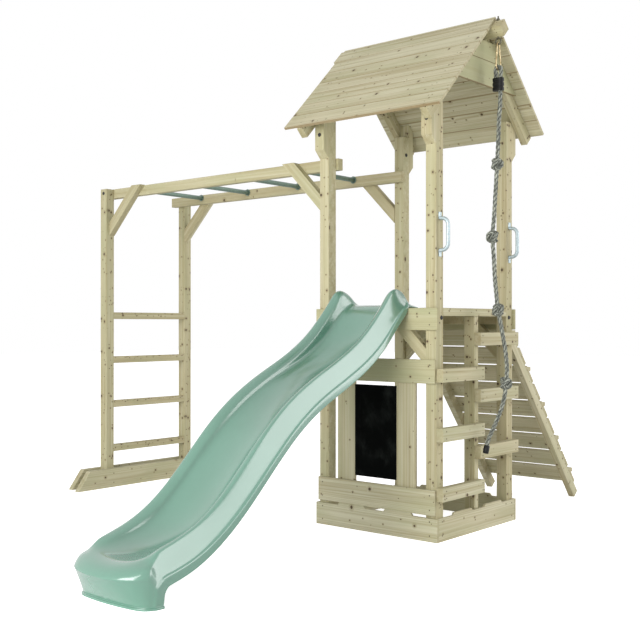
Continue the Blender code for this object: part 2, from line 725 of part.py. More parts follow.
def ladder():
    half = POST_INNER - GAP
    for index in range(RUNGS):
        top = RUNG_FIRST + index * RUNG_PITCH
        box(f"rung_{index + 1}", (LADDER_FRONT - RUNG_THICK, LADDER_FRONT), (-half, half), (top - RUNG_HIGH, top))
    thick = BASE_BOARD_THICK - GAP
    for name, middle, shorter in (
        ("base_board_front", LADDER_FRONT + GAP + thick / 2, 0.0),
        ("base_board_back", BASE_BACK + thick / 2, BASE_BACK_SHORTER),
    ):
        low = BASE_HALF_LOW - shorter
        high = BASE_HALF_HIGH - shorter
        outline = ((-low, 0.0), (low, 0.0), (high, BASE_BOARD_HIGH), (-high, BASE_BOARD_HIGH))
        plate(name, outline, thick, facing_x(middle))


# Climbing ramp
def ramp():
    """Slats on two stringers, with a level foothold on every second slat."""
    wall = CLAD + GAP
    fall, across = math.sin(RAMP_ANGLE), math.cos(RAMP_ANGLE)
    stringers = []
    for side in (-1, 1):
        outline = []
        for out in (-BOARD, -RAMP_DEEP):
            start = ramp_point(0.0, out)
            outline.append((wall, start[1] - (wall - start[0]) * fall / across))
        outline.append(ramp_point(RAMP_LENGTH, -RAMP_DEEP))
        outline.append(ramp_point(RAMP_LENGTH, -BOARD))
        middle = side * (RAMP_HALF - RAIL_THICK / 2)
        name = "ramp_stringer" if side > 0 else "ramp_slatted_side"
        stringers.append(plate(name, outline, RAIL_THICK, facing_x(middle)))
    pieces = []
    for index in range(RAMP_SLATS):
        top = index * RAMP_SLAT_PITCH + GAP
        low = top + RAMP_SLAT_WIDE
        plumb = (wall - ramp_point(0.0, GAP - BOARD)[0]) / across
        outline = [ramp_point(top, 0.0), ramp_point(low, 0.0), ramp_point(low, GAP - BOARD)]
        outline.append(ramp_point(max(top, plumb), GAP - BOARD))
        pieces.append(plate("slat", outline, 2 * RAMP_HALF, facing_x(0.0)))
        if index % 2:
            y, z = ramp_point(top + FOOTHOLD_DROP, -BITE)
            level = FOOTHOLD_HIGH * across / fall
            foothold = (
                (y, z), (y + FOOTHOLD_DEEP, z), (y + FOOTHOLD_DEEP, z - FOOTHOLD_HIGH),
                (y + level, z - FOOTHOLD_HIGH),
            )
            pieces.append(plate("foothold", foothold, 2 * RAMP_HALF, facing_x(0.0)))
    nailing_middle = BITE / 2 - RAMP_HALF + RAIL_THICK / 2
    plumb = (wall - ramp_point(0.0, -BITE - BOARD)[0]) / across
    for index in range(RAMP_SLATS):
        top = index * RAMP_SLAT_PITCH + GAP
        high = max(top, plumb) + 2 * BITE
        low = top + RAMP_SLAT_WIDE - 2 * BITE
        outline = [ramp_point(high, BITE - BOARD), ramp_point(low, BITE - BOARD)]
        outline += [ramp_point(low, -BITE - BOARD), ramp_point(high, -BITE - BOARD)]
        pieces.append(plate("nailing", outline, RAIL_THICK - 4 * BITE, facing_x(nailing_middle), arris=0.0))
    fuse(stringers[0], *pieces)


# Slide
def follow(points, place):
    """A smooth line through (distance, height) points, read at one distance."""
    if place <= points[0][0]:
        return points[0][1]
    if place >= points[-1][0]:
        return points[-1][1]
    index = max(i for i, point in enumerate(points[:-1]) if point[0] <= place)
    (x0, z0), (x1, z1) = points[index], points[index + 1]

    def slope(i):
        low, high = max(i - 1, 0), min(i + 1, len(points) - 1)
        return (points[high][1] - points[low][1]) / (points[high][0] - points[low][0])

    length = x1 - x0
    t = (place - x0) / length
    near = (1 + 2 * t) * (1 - t) ** 2 * z0 + t * (1 - t) ** 2 * length * slope(index)
    far = t * t * (3 - 2 * t) * z1 + t * t * (t - 1) * length * slope(index + 1)
    return near + far


def slide_rise(place):
    share = min(max((place - SLIDE_RISE_START) / (SLIDE_RISE_END - SLIDE_RISE_START), 0.0), 1.0)
    return SLIDE_RISE * share * share * (3 - 2 * share)


def slide_section(place):
    """Half of the slide's closed section at one distance, as (x, place, z) from its middle round to its middle."""
    rise = slide_rise(place)
    crest = follow(SLIDE_CREST, place) + rise
    bed = follow(SLIDE_BED, place) + rise
    growth = min(max((place - SLIDE_DISH_START) / SLIDE_DISH_GROWTH, 0.0), 1.0)
    dish = SLIDE_DISH * growth
    under = bed - SLIDE_SKIN
    past_fascia = place >= CLAD + 2 * GAP
    skirt = min(follow(SLIDE_SKIRT, place) + rise, under) if past_fascia else under
    side = crest - skirt
    line = skirt + min(SLIDE_FLANGE_HIGH, 0.35 * side)
    half = [(share * SLIDE_BED_HALF, bed - dish * depth) for share, depth in SLIDE_DISH_CURVE]
    half += [
        (SLIDE_BED_HALF, bed),
        (SLIDE_BED_HALF + 0.4 * (SLIDE_CREST_HALF - SLIDE_BED_HALF), bed + 0.55 * (crest - bed)),
        (SLIDE_CREST_HALF - SLIDE_ROLL, crest - min(SLIDE_ROLL / 2, 0.3 * side)),
        (SLIDE_CREST_HALF, crest),
        (SLIDE_CREST_HALF + SLIDE_ROLL, crest - min(SLIDE_ROLL, 0.4 * side)),
        (SLIDE_SIDE_HALF, line),
        (SLIDE_FLANGE_HALF, line - min(SLIDE_FLANGE_STEP, 0.1 * side)),
        (SLIDE_FLANGE_HALF, skirt),
        (SLIDE_FLANGE_HALF - SLIDE_ROLL, skirt),
        (SLIDE_CREST_HALF + SLIDE_ROLL, under),
        (SLIDE_BED_HALF, under),
    ]
    half += [(share * SLIDE_BED_HALF, under - dish * depth) for share, depth in reversed(SLIDE_DISH_CURVE)]
    return [Vector((x, place, z)) for x, z in half]


def foot_back(outer, last):
    """The foot's flat back, as the inner points of a section whose outer points are given."""
    edge = outer[-1]
    low = slide_section(last)[len(outer):]
    points = []
    for index, point in enumerate(low):
        share = 1 - (1 - index / (len(low) - 1)) ** 2
        x = edge.x - SLIDE_ROLL if index == 0 else point.x
        points.append(Vector((x, min(edge.y, FOOT_BACK), edge.z * (1 + share * FOOT_BACK_HIGH / edge.z))))
    return points


def slide_sections():
    """Every half section, down the bed, over the nose and down the foot to the ground."""
    first, last, count = SLIDE_BODY_STATIONS
    places = list(SLIDE_TOP_STATIONS)
    places += [first + (last - first) * index / (count - 1) for index in range(count)]
    sections = [slide_section(place) for place in places]
    outer_count = len(SLIDE_FOOT)
    turning = [sections[-2][:outer_count], sections[-1][:outer_count]]
    turning += [[Vector(point) for point in row] for row in SLIDE_NOSE]
    foot = [Vector((x, place, 0.0)) for x, place in SLIDE_FOOT]
    rim = turning[-1]
    turning += [[a.lerp(b, share) for a, b in zip(rim, foot)] for share in FOOT_SHARES]
    rows = []
    for index in range(1, len(turning) - 2):
        four = turning[index - 1:index + 3]
        rows.append([between_points(*points) for points in zip(*four)])
        rows.append(four[2])
    rows.append(turning[-1])
    for row in rows:
        sections.append(row + foot_back(row, last))
    for proud, high in ((0.0, FOOT_LIP_HIGH + FOOT_LIP_SLOPE), (FOOT_LIP, FOOT_LIP_HIGH), (FOOT_LIP, 0.0)):
        row = []
        for point in foot:
            across = (point.x / foot[-1].x) ** 3
            out = math.sqrt(1 - across * across)
            row.append(Vector((point.x + proud * across, point.y + proud * out, high)))
        back = [Vector((inner.x, FOOT_BACK, high)) for inner in foot_back(rows[-1], last)]
        sections.append(row + back)
    return sections


def between_points(before, a, b, after):
    """The middle of a smooth line from a to b."""
    return (9 * (a + b) - before - after) / 16


def slide():
    """A dished bed between two rounded sides, which turns down over a rounded nose to a foot."""
    shape = bmesh.new()
    rings = []
    for half in slide_sections():
        ring = [shape.verts.new((x, -place, z)) for x, place, z in half]
        ring += [shape.verts.new((-x, -place, z)) for x, place, z in reversed(half[1:-1])]
        rings.append(ring)
    for first, second in zip(rings, rings[1:]):
        for index in range(len(first)):
            after = (index + 1) % len(first)
            shape.faces.new((first[index], first[after], second[after], second[index]))
    shape.faces.new(rings[0])
    shape.faces.new(rings[-1])
    bmesh.ops.recalc_face_normals(shape, faces=shape.faces)
    mesh = bpy.data.meshes.new("slide")
    shape.to_mesh(mesh)
    shape.free()
    add_object("slide", mesh, Matrix(), MINT)


# Rope and its hanger
def ring_points(radius, count=24):
    turns = [2 * math.pi * index / count for index in range(count)]
    return [(radius * math.cos(turn), 0.0, radius * math.sin(turn)) for turn in turns]


def hanger():
    place = Matrix.Translation((HANGER_X, 0, EYE_CENTRE))
    eye = tube("eye_bolt", ring_points(EYE_RADIUS), EYE_WIRE, place, STEEL, closed=True)
    foot = EYE_CENTRE + EYE_RADIUS - BITE
    seat = RIDGE_TOP + GAP
    nut = seat + EYE_WASHER_THICK
    nut_top = nut + EYE_NUT_HIGH
    top = nut_top + EYE_THREAD_UP
    profile = (
        (0.0, top), (EYE_SHANK, top), (EYE_SHANK, nut_top), (EYE_NUT, nut_top), (EYE_NUT, nut),
        (EYE_WASHER, nut), (EYE_WASHER, seat), (EYE_SHANK, seat), (EYE_SHANK, foot), (0.0, foot),
    )
    fuse(eye, turned("shank", profile, 16, Matrix.Translation((HANGER_X, 0, 0)), STEEL))
    low = LINK_BOTTOM + LINK_LOW_BEND
    high = LINK_TOP - LINK_HIGH_BEND
    tilt = math.asin((LINK_LOW_BEND - LINK_HIGH_BEND) / (high - low))
    points = []
    for centre, bend, start, end in (
        (high, LINK_HIGH_BEND, tilt, math.pi - tilt),
        (low, LINK_LOW_BEND, math.pi - tilt, 2 * math.pi + tilt),
    ):
        for step in range(LINK_BEND_STEPS + 1):
            turn = start + (end - start) * step / LINK_BEND_STEPS
            points.append((0.0, bend * math.cos(turn), centre - LINK_TOP + bend * math.sin(turn)))
    link_place = Matrix.Translation((HANGER_X, 0, LINK_TOP))
    tube("rope_link", points, LINK_WIRE, link_place, BRASS, closed=True)


def smooth_route(points, count):
    """Points at even steps of a smooth line through the route's own points."""
    vectors = [Vector(point) for point in points]
    fine = []
    for index in range(len(vectors) - 1):
        before = vectors[max(index - 1, 0)]
        after = vectors[min(index + 2, len(vectors) - 1)]
        a, b = vectors[index], vectors[index + 1]
        for step in range(12):
            t = step / 12
            fine.append(0.5 * (
                2 * a + (b - before) * t + (2 * before - 5 * a + 4 * b - after) * t ** 2
                + (3 * a - before - 3 * b + after) * t ** 3
            ))
    fine.append(vectors[-1])
    lengths = [0.0]
    for first, second in zip(fine, fine[1:]):
        lengths.append(lengths[-1] + (second - first).length)
    even = []
    for number in range(count):
        want = lengths[-1] * number / (count - 1)
        index = next(i for i in range(1, len(fine)) if lengths[i] >= want - 1e-9)
        share = (want - lengths[index - 1]) / (lengths[index] - lengths[index - 1])
        even.append(fine[index - 1].lerp(fine[index], share))
    return even


def rope():
    """One rope: tail up through the clamp, over the link, down through the clamp and on to its end."""
    tail = CLAMP_LOW + GAP
    half = ROPE_LEG_HALF
    points = [(HANGER_X - half, 0, tail), (HANGER_X - half, 0, CLAMP_TOP)]
    for step in range(BIGHT_STEPS + 1):
        turn = math.pi * (1 - step / BIGHT_STEPS)
        across, up = BIGHT_RADIUS * math.cos(turn), BIGHT_RADIUS * math.sin(turn)
        points.append((HANGER_X + across, 0, LINK_BOTTOM + up))
    points.append((HANGER_X + half, 0, CLAMP_TOP))
    route = [tuple(point) for point in smooth_route(ROPE_ROUTE, ROPE_STATIONS)]
    points += route
    radii = []
    for point in points:
        size = 1.0
        for centre in KNOT_CENTRES:
            reach = (point[2] - centre) / KNOT_HALF
            if abs(reach) < 1:
                size = max(size, KNOT_RADIUS / ROPE_RADIUS * math.sqrt(1 - reach * reach))
        radii.append(size)
    place = Matrix.Translation((HANGER_X, 0, ROPE_HINGE))
    local = [Vector(point) - place.translation for point in points]
    tube("climbing_rope", local, ROPE_RADIUS, place, ROPE, radii=radii)
    clamp()
    end = Vector(route[-1])
    along = (end - Vector(route[-2])).normalized()
    turn = Vector((0, 0, -1)).rotation_difference(along).to_matrix().to_4x4()
    neck = END_CAP_RADIUS - END_CAP_LIP
    profile = (
        (0.0, -GAP), (neck, -GAP), (END_CAP_RADIUS, -GAP - END_CAP_LIP),
        (END_CAP_RADIUS, END_CAP_LIP - END_CAP_LONG), (neck, -END_CAP_LONG), (0.0, -END_CAP_LONG),
    )
    turned("rope_end_cap", profile, 16, Matrix.Translation(end) @ turn, BLACK)


def stadium(half, radius, steps=8):
    outline = []
    for side, start in ((1, -90), (-1, 90)):
        for step in range(steps + 1):
            turn = math.radians(start + 180 * step / steps)
            outline.append((HANGER_X + side * half + radius * math.cos(turn), radius * math.sin(turn)))
    return outline


def clamp():
    """A moulded clip with three ribs and a bore for each leg of the rope."""
    high = CLAMP_TOP - CLAMP_LOW
    middle = (CLAMP_TOP + CLAMP_LOW) / 2
    body = plate("rope_clamp", stadium(ROPE_LEG_HALF, CLAMP_CORE), high, facing_z(middle), BLACK, 0.0)
    pitch = (high - CLAMP_RIB_HIGH) / (CLAMP_RIBS - 1)
    ribs = []
    for index in range(CLAMP_RIBS):
        level = CLAMP_LOW + CLAMP_RIB_HIGH / 2 + index * pitch
        inset = GAP * (1 - index)
        ribs.append(plate("rib", stadium(ROPE_LEG_HALF, CLAMP_RIB), CLAMP_RIB_HIGH, facing_z(level + inset),
                          BLACK, 0.0))
    bore = ROPE_RADIUS + GAP
    profile = ((0.0, high), (bore, high), (bore, -high), (0.0, -high))
    fuse(body, *ribs)
    for side in (-1, 1):
        place = Matrix.Translation((HANGER_X + side * ROPE_LEG_HALF, 0, middle))
        cut(body, turned("bore", profile, 16, place, BLACK))


def main():
    corner_posts()
    deck()
    sandbox()
    slide_side_boards()
    steps()
    grab_handles()
    roof()
    monkey_bars()
    ladder()
    ramp()
    slide()
    hanger()
    rope()


main()
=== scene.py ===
"""Looks of a timber play tower with a slide, monkey bars, a climbing ramp and a knotted rope.

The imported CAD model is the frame. The timber keeps its CAD solids and gets grained pine. The slide, the
metal and plastic parts, the rope and the fasteners are finished pieces that stand where the frame says.
"""

import math
import random

import bmesh
import bpy
from bpy.props import FloatProperty, FloatVectorProperty, IntProperty, PointerProperty
from mathutils import Matrix, Vector


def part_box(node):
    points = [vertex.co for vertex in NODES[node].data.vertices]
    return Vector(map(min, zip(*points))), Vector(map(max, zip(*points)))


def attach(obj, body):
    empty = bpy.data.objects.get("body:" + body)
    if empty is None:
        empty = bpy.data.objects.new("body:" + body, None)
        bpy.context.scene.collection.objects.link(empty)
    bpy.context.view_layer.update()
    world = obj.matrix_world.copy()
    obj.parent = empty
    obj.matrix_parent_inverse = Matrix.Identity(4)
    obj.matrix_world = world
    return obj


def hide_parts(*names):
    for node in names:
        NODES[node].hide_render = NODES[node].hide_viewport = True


bl_info = {
    "name": "Play tower",
    "version": (1, 0, 0),
    "blender": (4, 5, 0),
    "location": "View3D > Sidebar > Play tower",
    "description": "Finishes a timber play tower with its slide, monkey bars, ramp and knotted rope",
    "category": "Object",
}

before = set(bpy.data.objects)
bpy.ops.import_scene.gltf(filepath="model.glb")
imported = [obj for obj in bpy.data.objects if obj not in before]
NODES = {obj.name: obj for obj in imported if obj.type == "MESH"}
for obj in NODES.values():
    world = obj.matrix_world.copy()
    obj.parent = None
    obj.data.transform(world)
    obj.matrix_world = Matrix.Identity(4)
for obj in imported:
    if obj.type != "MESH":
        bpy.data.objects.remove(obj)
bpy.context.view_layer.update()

# Places of the frame that the pieces are set out from
FRONT_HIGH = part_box("post_front_ramp_side")[1]
BACK_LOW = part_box("post_back_slide_side")[0]
FASCIA_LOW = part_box("fascia_slide_side")[0]
FASCIA_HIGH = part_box("fascia_ramp_side")[1]
TOWER = Vector(((BACK_LOW.x + FRONT_HIGH.x) / 2, (FASCIA_LOW.y + FASCIA_HIGH.y) / 2, 0.0))
TOWER_HALF = FRONT_HIGH.x - TOWER.x
POST_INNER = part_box("step_post")[0].x - TOWER.x
POST_MIDDLE = (TOWER_HALF + POST_INNER) / 2
CLAD = FASCIA_HIGH.y - TOWER.y
DECK_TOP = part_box("deck")[1].z
RIDGE_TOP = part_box("ridge_beam")[1].z
HANGER_X = (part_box("rope_link")[0].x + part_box("rope_link")[1].x) / 2 - TOWER.x
X, Y, Z = range(3)
AXES = (Vector((1, 0, 0)), Vector((0, 1, 0)), Vector((0, 0, 1)))
DIAGONAL = math.sqrt(0.5)
GAP = 0.0003            # between two pieces that touch

# Timber sizes
POST_MIDHEIGHT = 1.2
BOARD = 0.016           # thickness of the cladding boards
DECK_PLANK = 0.022
DECK_PLANKS = 7
ROOF_BOARDS = 7
ROOF_LENGTH = 0.820     # of a roof slope, from the ridge down
ROOF_JOINT = 0.0045
GABLE_BOARD = 0.146
GABLE_JOINT = 0.003
RAIL_THICK = 0.045
BARS_RAIL_LOW = 2.150
RAMP_ANGLE = math.radians(50.3)
RAMP_START = 0.0045     # the slats' face meets deck height this far from the fascia board
RAMP_SLAT_PITCH = 0.156
RAMP_SLAT_WIDE = 0.137
RAMP_SLATS = 10
RAMP_HALF = 0.3517

# Slide, by distance out from the tower's middle
SLIDE_BED_HALF = 0.148
SLIDE_WALL_HALF = 0.156
SLIDE_CREST_INNER = 0.167
SLIDE_CREST_HALF = 0.197
SLIDE_CREST_OUTER = 0.212
SLIDE_SIDE_HALF = 0.235
SLIDE_FLANGE_HALF = 0.245
SLIDE_UNDER_HALF = 0.212
SLIDE_EDGE = 0.012
SLIDE_SKIN = 0.0165
SLIDE_DISH = 0.035
SLIDE_DISH_START = 0.450
SLIDE_DISH_GROWTH = 0.200
SLIDE_DISH_CURVE = ((0.0, 1.0), (0.35, 0.90), (0.70, 0.55))     # shares of the bed's half and of the dish
SLIDE_WALL_HIGH = 0.42      # where the inner wall bends, as a share of its height
SLIDE_INNER_DROP = 0.016    # how far the flat crest falls to its inner edge, and to its outer one
SLIDE_OUTER_DROP = 0.004
SLIDE_FLANGE_HIGH = 0.055   # from the skirt's edge up to the moulded line
SLIDE_FLANGE_STEP = 0.010
SLIDE_RISE = 0.022          # raises the low end, so that the foot stands on the ground
SLIDE_RISE_START = 1.200
SLIDE_RISE_END = 2.200
SLIDE_SKIRT_START = 0.444   # where the skirt begins, past the fascia board
SLIDE_TOP_STATIONS = (
    0.340, 0.345, 0.365, 0.394, 0.415, 0.4375, 0.444, 0.470, 0.500, 0.525, 0.550, 0.580, 0.620, 0.662, 0.708,
)
SLIDE_BODY_STATIONS = (0.780, 2.200, 19)    # first, last and how many
SLIDE_CREST = (
    (0.340, 1.321), (0.394, 1.334), (0.430, 1.380), (0.465, 1.402), (0.500, 1.410), (0.545, 1.394),
    (0.580, 1.355), (0.630, 1.300), (0.708, 1.225), (0.780, 1.162), (0.870, 1.100), (1.000, 1.030),
    (1.100, 0.984), (1.200, 0.938), (1.300, 0.886), (1.400, 0.824), (1.500, 0.748), (1.600, 0.658),
    (1.700, 0.553), (1.800, 0.454), (1.900, 0.368), (2.000, 0.303), (2.100, 0.258), (2.200, 0.228),
)
SLIDE_BED = (
    (0.340, 1.318), (0.440, 1.318), (0.520, 1.283), (0.610, 1.200), (0.708, 1.118), (0.870, 1.015),
    (1.000, 0.960), (1.197, 0.874), (1.400, 0.756), (1.600, 0.588), (1.669, 0.522), (1.764, 0.431),
    (1.878, 0.324), (1.977, 0.254), (2.094, 0.213), (2.200, 0.198),
)
SLIDE_SKIRT = (
    (0.444, 1.276), (0.550, 1.177), (0.650, 1.078), (0.750, 1.000), (0.850, 0.940), (1.000, 0.867),
    (1.100, 0.822), (1.200, 0.773), (1.300, 0.713), (1.400, 0.638), (1.500, 0.548), (1.600, 0.452),
    (1.700, 0.355), (1.800, 0.267), (1.900, 0.193), (2.000, 0.134), (2.100, 0.093), (2.200, 0.068),
)
# The low end past the last station: how the section turns down over the nose to the foot, from its middle
# to its lower edge, as (x, distance out, height)
SLIDE_NOSE = (
    (
        (0.0, 2.265, 0.185), (0.0525, 2.264, 0.187), (0.105, 2.262, 0.195), (0.150, 2.258, 0.210),
        (0.170, 2.254, 0.221), (0.188, 2.250, 0.228), (0.201, 2.247, 0.234), (0.214, 2.243, 0.226),
        (0.236, 2.234, 0.139), (0.246, 2.230, 0.128), (0.246, 2.219, 0.080),
    ),
    (
        (0.0, 2.325, 0.187), (0.0535, 2.324, 0.189), (0.107, 2.321, 0.193), (0.153, 2.315, 0.198),
        (0.178, 2.305, 0.198), (0.196, 2.297, 0.197), (0.210, 2.289, 0.197), (0.224, 2.280, 0.190),
        (0.241, 2.262, 0.125), (0.249, 2.252, 0.112), (0.247, 2.231, 0.064),
    ),
    (
        (0.0, 2.385, 0.170), (0.056, 2.383, 0.171), (0.110, 2.377, 0.173), (0.157, 2.367, 0.174),
        (0.187, 2.354, 0.176), (0.209, 2.343, 0.176), (0.226, 2.328, 0.177), (0.239, 2.306, 0.173),
        (0.245, 2.278, 0.112), (0.251, 2.268, 0.098), (0.248, 2.236, 0.050),
    ),
    (
        (0.0, 2.420, 0.136), (0.060, 2.418, 0.136), (0.115, 2.411, 0.138), (0.162, 2.398, 0.140),
        (0.194, 2.382, 0.141), (0.216, 2.364, 0.141), (0.233, 2.343, 0.140), (0.244, 2.321, 0.136),
        (0.248, 2.291, 0.098), (0.252, 2.280, 0.086), (0.248, 2.237, 0.040),
    ),
)
SLIDE_FOOT = (
    (0.0, 2.346), (0.052, 2.345), (0.104, 2.342), (0.150, 2.337), (0.176, 2.333), (0.197, 2.327),
    (0.213, 2.318), (0.225, 2.306), (0.233, 2.290), (0.241, 2.281), (0.243, 2.237),
)
FOOT_BACK = 2.237
FOOT_BACK_HIGH = 0.045      # how far the foot's back rises at its middle, above its sides
FOOT_SHARES = (0.12, 0.45)  # sections between the nose's edge and the foot's lip
# The foot's lip, as (how far it stands proud, height)
FOOT_LIP = ((0.0, 0.0130), (0.001, 0.0115), (0.007, 0.0095), (0.008, 0.0080), (0.008, 0.0010), (0.0075, 0.0))
# How tightly the outer section turns at its corner points, counted from its middle
SLIDE_CORNERS = {5: 0.0120, 7: 0.0035, 8: 0.0030, 9: 0.0030, 10: 0.0040}
SLIDE_CREASE = 0.9

# Steel parts
BAR_RADIUS = 0.016
FLANGE_THICK = 0.0032
EYE_RING = 0.017
EYE_WIRE = 0.005
EYE_SHANK = 0.0044
NUT_RADIUS = 0.009
NUT_HIGH = 0.008
WASHER_RADIUS = 0.012
WASHER_THICK = 0.002
SLEEVE_RADIUS = 0.0058
SLEEVE_LENGTH = 0.020
SLEEVE_SHARE = 0.42     # how far down the link's leg its sleeve sits
LINK_STEPS = 20         # in each bend of the link
LINK_WIRE = 0.004
LINK_HIGH_BEND = 0.011
LINK_LOW_BEND = 0.026

# Rope and its route in tower coordinates, from the clamp to the end cap
ROPE_LEG_HALF = 0.0145
ROPE_RADIUS = 0.013
ROPE_STEP = 0.005           # between the path's points on the straight legs and over the link
ROUTE_STEP = 0.006
BIGHT_STEPS = 12
STRAND_OFFSET = 0.40        # a strand's middle and radius, as shares of the rope's radius
STRAND_RADIUS = 0.60
KNOT_CENTRES = (2.133, 1.712, 1.291, 0.870)
KNOT_STEPS = 72
KNOT_WEAVE = 0.0085         # how far the knot's rope goes over and under itself
KNOT_HALF = 0.0235
KNOT_ROPE = 0.97            # the pulled rope's radius in a knot, as a share
KNOT_TURN = 0.9             # each knot is turned on from the one above it, in radians
CLAMP_TOP = 2.630
CLAMP_LOW = 2.557
ROPE_ROUTE = (
    (HANGER_X + ROPE_LEG_HALF, 0.000, 2.549),
    (0.580, 0.002, 2.470), (0.573, 0.001, 2.386), (0.570, 0.000, 2.271), (0.567, -0.009, 2.133),
    (0.563, -0.018, 1.985), (0.559, -0.029, 1.835), (0.555, -0.040, 1.712), (0.558, -0.032, 1.600),
    (0.561, -0.024, 1.470), (0.565, -0.014, 1.377), (0.570, -0.004, 1.291), (0.588, 0.009, 1.170),
    (0.605, 0.019, 1.050), (0.612, 0.023, 0.950), (0.606, 0.019, 0.870), (0.603, 0.017, 0.812),
    (0.588, 0.006, 0.731), (0.568, -0.016, 0.656), (0.550, -0.052, 0.580), (0.544, -0.072, 0.547),
    (0.542, -0.081, 0.515),
)

# Fasteners
GABLE_SCREW_HEIGHTS = (0.030, 0.105, 0.176, 0.232)
GABLE_SCREW_INSET = 0.075
STEP_SCREW_INSET = 0.018
DECK_SCREW_INSET = 0.028
DECK_SCREW_SHARES = (0.25, 0.72)    # of a plank's width, as the next two are of a board's and a slat's
ROOF_SCREW_SHARES = (0.28, 0.74)
RAMP_SCREW_SHARES = (0.28, 0.80)
FACES = {"+X": (X, 1), "-X": (X, -1), "+Y": (Y, 1), "-Y": (Y, -1)}
FACE_SCREWS = (     # group of screws, board, face, and how far in from the board's edges
    ("boards", "upper_rail_board", "-Y", 0.030),
    ("boards", "lower_rail_board", "-Y", 0.030),
    ("boards", "fascia_slide_side", "-Y", 0.030),
    ("boards", "fascia_ramp_side", "+Y", 0.030),
    ("sandbox", "sandbox_slide_side", "-Y", 0.034),
    ("sandbox", "sandbox_ramp_side", "+Y", 0.034),
    ("sandbox", "sandbox_front", "+X", 0.034),
    ("sandbox", "sandbox_back", "-X", 0.034),
    ("ladder", "base_board_front", "+X", 0.035),
    ("ladder", "base_board_back", "-X", 0.035),
)
CLEAT_CAP_HIGH = 2.352
LADDER_CAP_HIGH = 2.185
BOLT_CAPS = (       # place from the tower's middle, and face
    ((0.422, -0.370, 1.246), "+X"), ((0.422, 0.382, 1.250), "+X"), ((-0.422, -0.370, 1.246), "-X"),
    ((-0.422, 0.382, 1.250), "-X"), ((-0.352, 0.387, 2.336), "+X"),
)

# Colours of the small parts
BLACK_PLASTIC = (0.003, 0.0035, 0.0035)
DUSTY_PLASTIC = (0.010, 0.0105, 0.010)
SCREW_STEEL = (0.20, 0.17, 0.10)
WORN_SCREW_STEEL = (0.10, 0.085, 0.055)
EYE_BOLT_STEEL = (0.13, 0.12, 0.08)
DULL_EYE_BOLT_STEEL = (0.07, 0.065, 0.045)
CHALKBOARD_BLACK = (0.0010, 0.0014, 0.0012)
CHALK_CLOUD = (0.0150, 0.0170, 0.0155)

# Camera that matches the photograph, from the tower's middle
CAMERA_PLACE = Vector((3.4823, -5.0450, 1.2104))
CAMERA_TURN = (math.radians(90.231), 0.0, math.radians(40.176))
CAMERA_LENS = 55.905

# Stage
FLOOR_SIZE = 60.0
FLOOR_SHADE = 0.08      # light that the floor gives off for every ray
LIGHT_TARGET = Vector((-0.3, -0.6, 1.2))
KEY_PLACE = Vector((0.9, -7.6, 1.6))        # from the target
KEY_SIZE = (6.0, 4.8)
SIDE_PLACE = Vector((6.6, 4.4, 1.9))
SIDE_SIZE = (6.0, 5.6)


# Shader building
class Value:
    """A shader socket that takes part in Python arithmetic."""

    def __init__(self, finish, socket):
        self.finish = finish
        self.socket = socket

    def maths(self, operation, *others, swapped=False):
        values = (self, *others)
        if swapped:
            values = values[::-1]
        return self.finish.node("ShaderNodeMath", {"operation": operation}, dict(enumerate(values)))

    def __add__(self, other):
        return self.maths("ADD", other)

    __radd__ = __add__

    def __sub__(self, other):
        return self.maths("SUBTRACT", other)

    def __rsub__(self, other):
        return self.maths("SUBTRACT", other, swapped=True)

    def __mul__(self, other):
        return self.maths("MULTIPLY", other)

    __rmul__ = __mul__

    def __truediv__(self, other):
        return self.maths("DIVIDE", other)

    def __pow__(self, other):
        return self.maths("POWER", other)

    def __gt__(self, other):
        return self.maths("GREATER_THAN", other)

    def __lt__(self, other):
        return self.maths("LESS_THAN", other)

    def __abs__(self):
        return self.maths("ABSOLUTE")


class Finish:
    """A node material under construction."""

    def __init__(self, name):
        self.material = bpy.data.materials.new(name)
        self.material.use_nodes = True
        self.tree = self.material.node_tree
        self.shader = self.tree.nodes["Principled BSDF"]

    def node(self, kind, settings=None, values=None, output=0):
        node = self.tree.nodes.new(kind)
        for key, setting in (settings or {}).items():
            setattr(node, key, setting)
        for key, value in (values or {}).items():
            if isinstance(value, Value):
                self.tree.links.new(value.socket, node.inputs[key])
            else:
                node.inputs[key].default_value = value
        return Value(self, node.outputs[output])

    def object_place(self):
        return self.node("ShaderNodeTexCoord", output="Object")

    def along(self, vector, direction):
        settings = {"operation": "DOT_PRODUCT"}
        return self.node("ShaderNodeVectorMath", settings, {0: vector, 1: tuple(direction)}, "Value")

    def vector(self, x, y, z):
        return self.node("ShaderNodeCombineXYZ", values={0: x, 1: y, 2: z})

    def part(self, vector, axis):
        return self.node("ShaderNodeSeparateXYZ", values={0: vector}, output=axis)

    def mix(self, factor, first, second):
        values = {0: factor, 6: first, 7: second}
        return self.node("ShaderNodeMix", {"data_type": "RGBA"}, values, 2)

    def noise(self, vector, scale, detail=2.0, roughness=0.5):
        values = {"Vector": vector, "Scale": scale, "Detail": detail, "Roughness": roughness}
        return self.node("ShaderNodeTexNoise", values=values)

    def smooth(self, value, low, high):
        """0 under low and 1 over high, with a smooth change between."""
        settings = {"interpolation_type": "SMOOTHSTEP"}
        return self.node("ShaderNodeMapRange", settings, {"Value": value, "From Min": low, "From Max": high})

    def set(self, **values):
        """Sets or links the shader's own sockets, named with _ for a space."""
        for key, value in values.items():
            socket = self.shader.inputs[key.replace("_", " ")]
            if isinstance(value, Value):
                self.tree.links.new(value.socket, socket)
            else:
                socket.default_value = value
        return self.material

    def bump(self, height, distance, strength=1.0):
        values = {"Height": height, "Distance": distance, "Strength": strength}
        self.set(Normal=self.node("ShaderNodeBump", values=values))


def colour(values):
    return (values[0], values[1], values[2], 1.0)


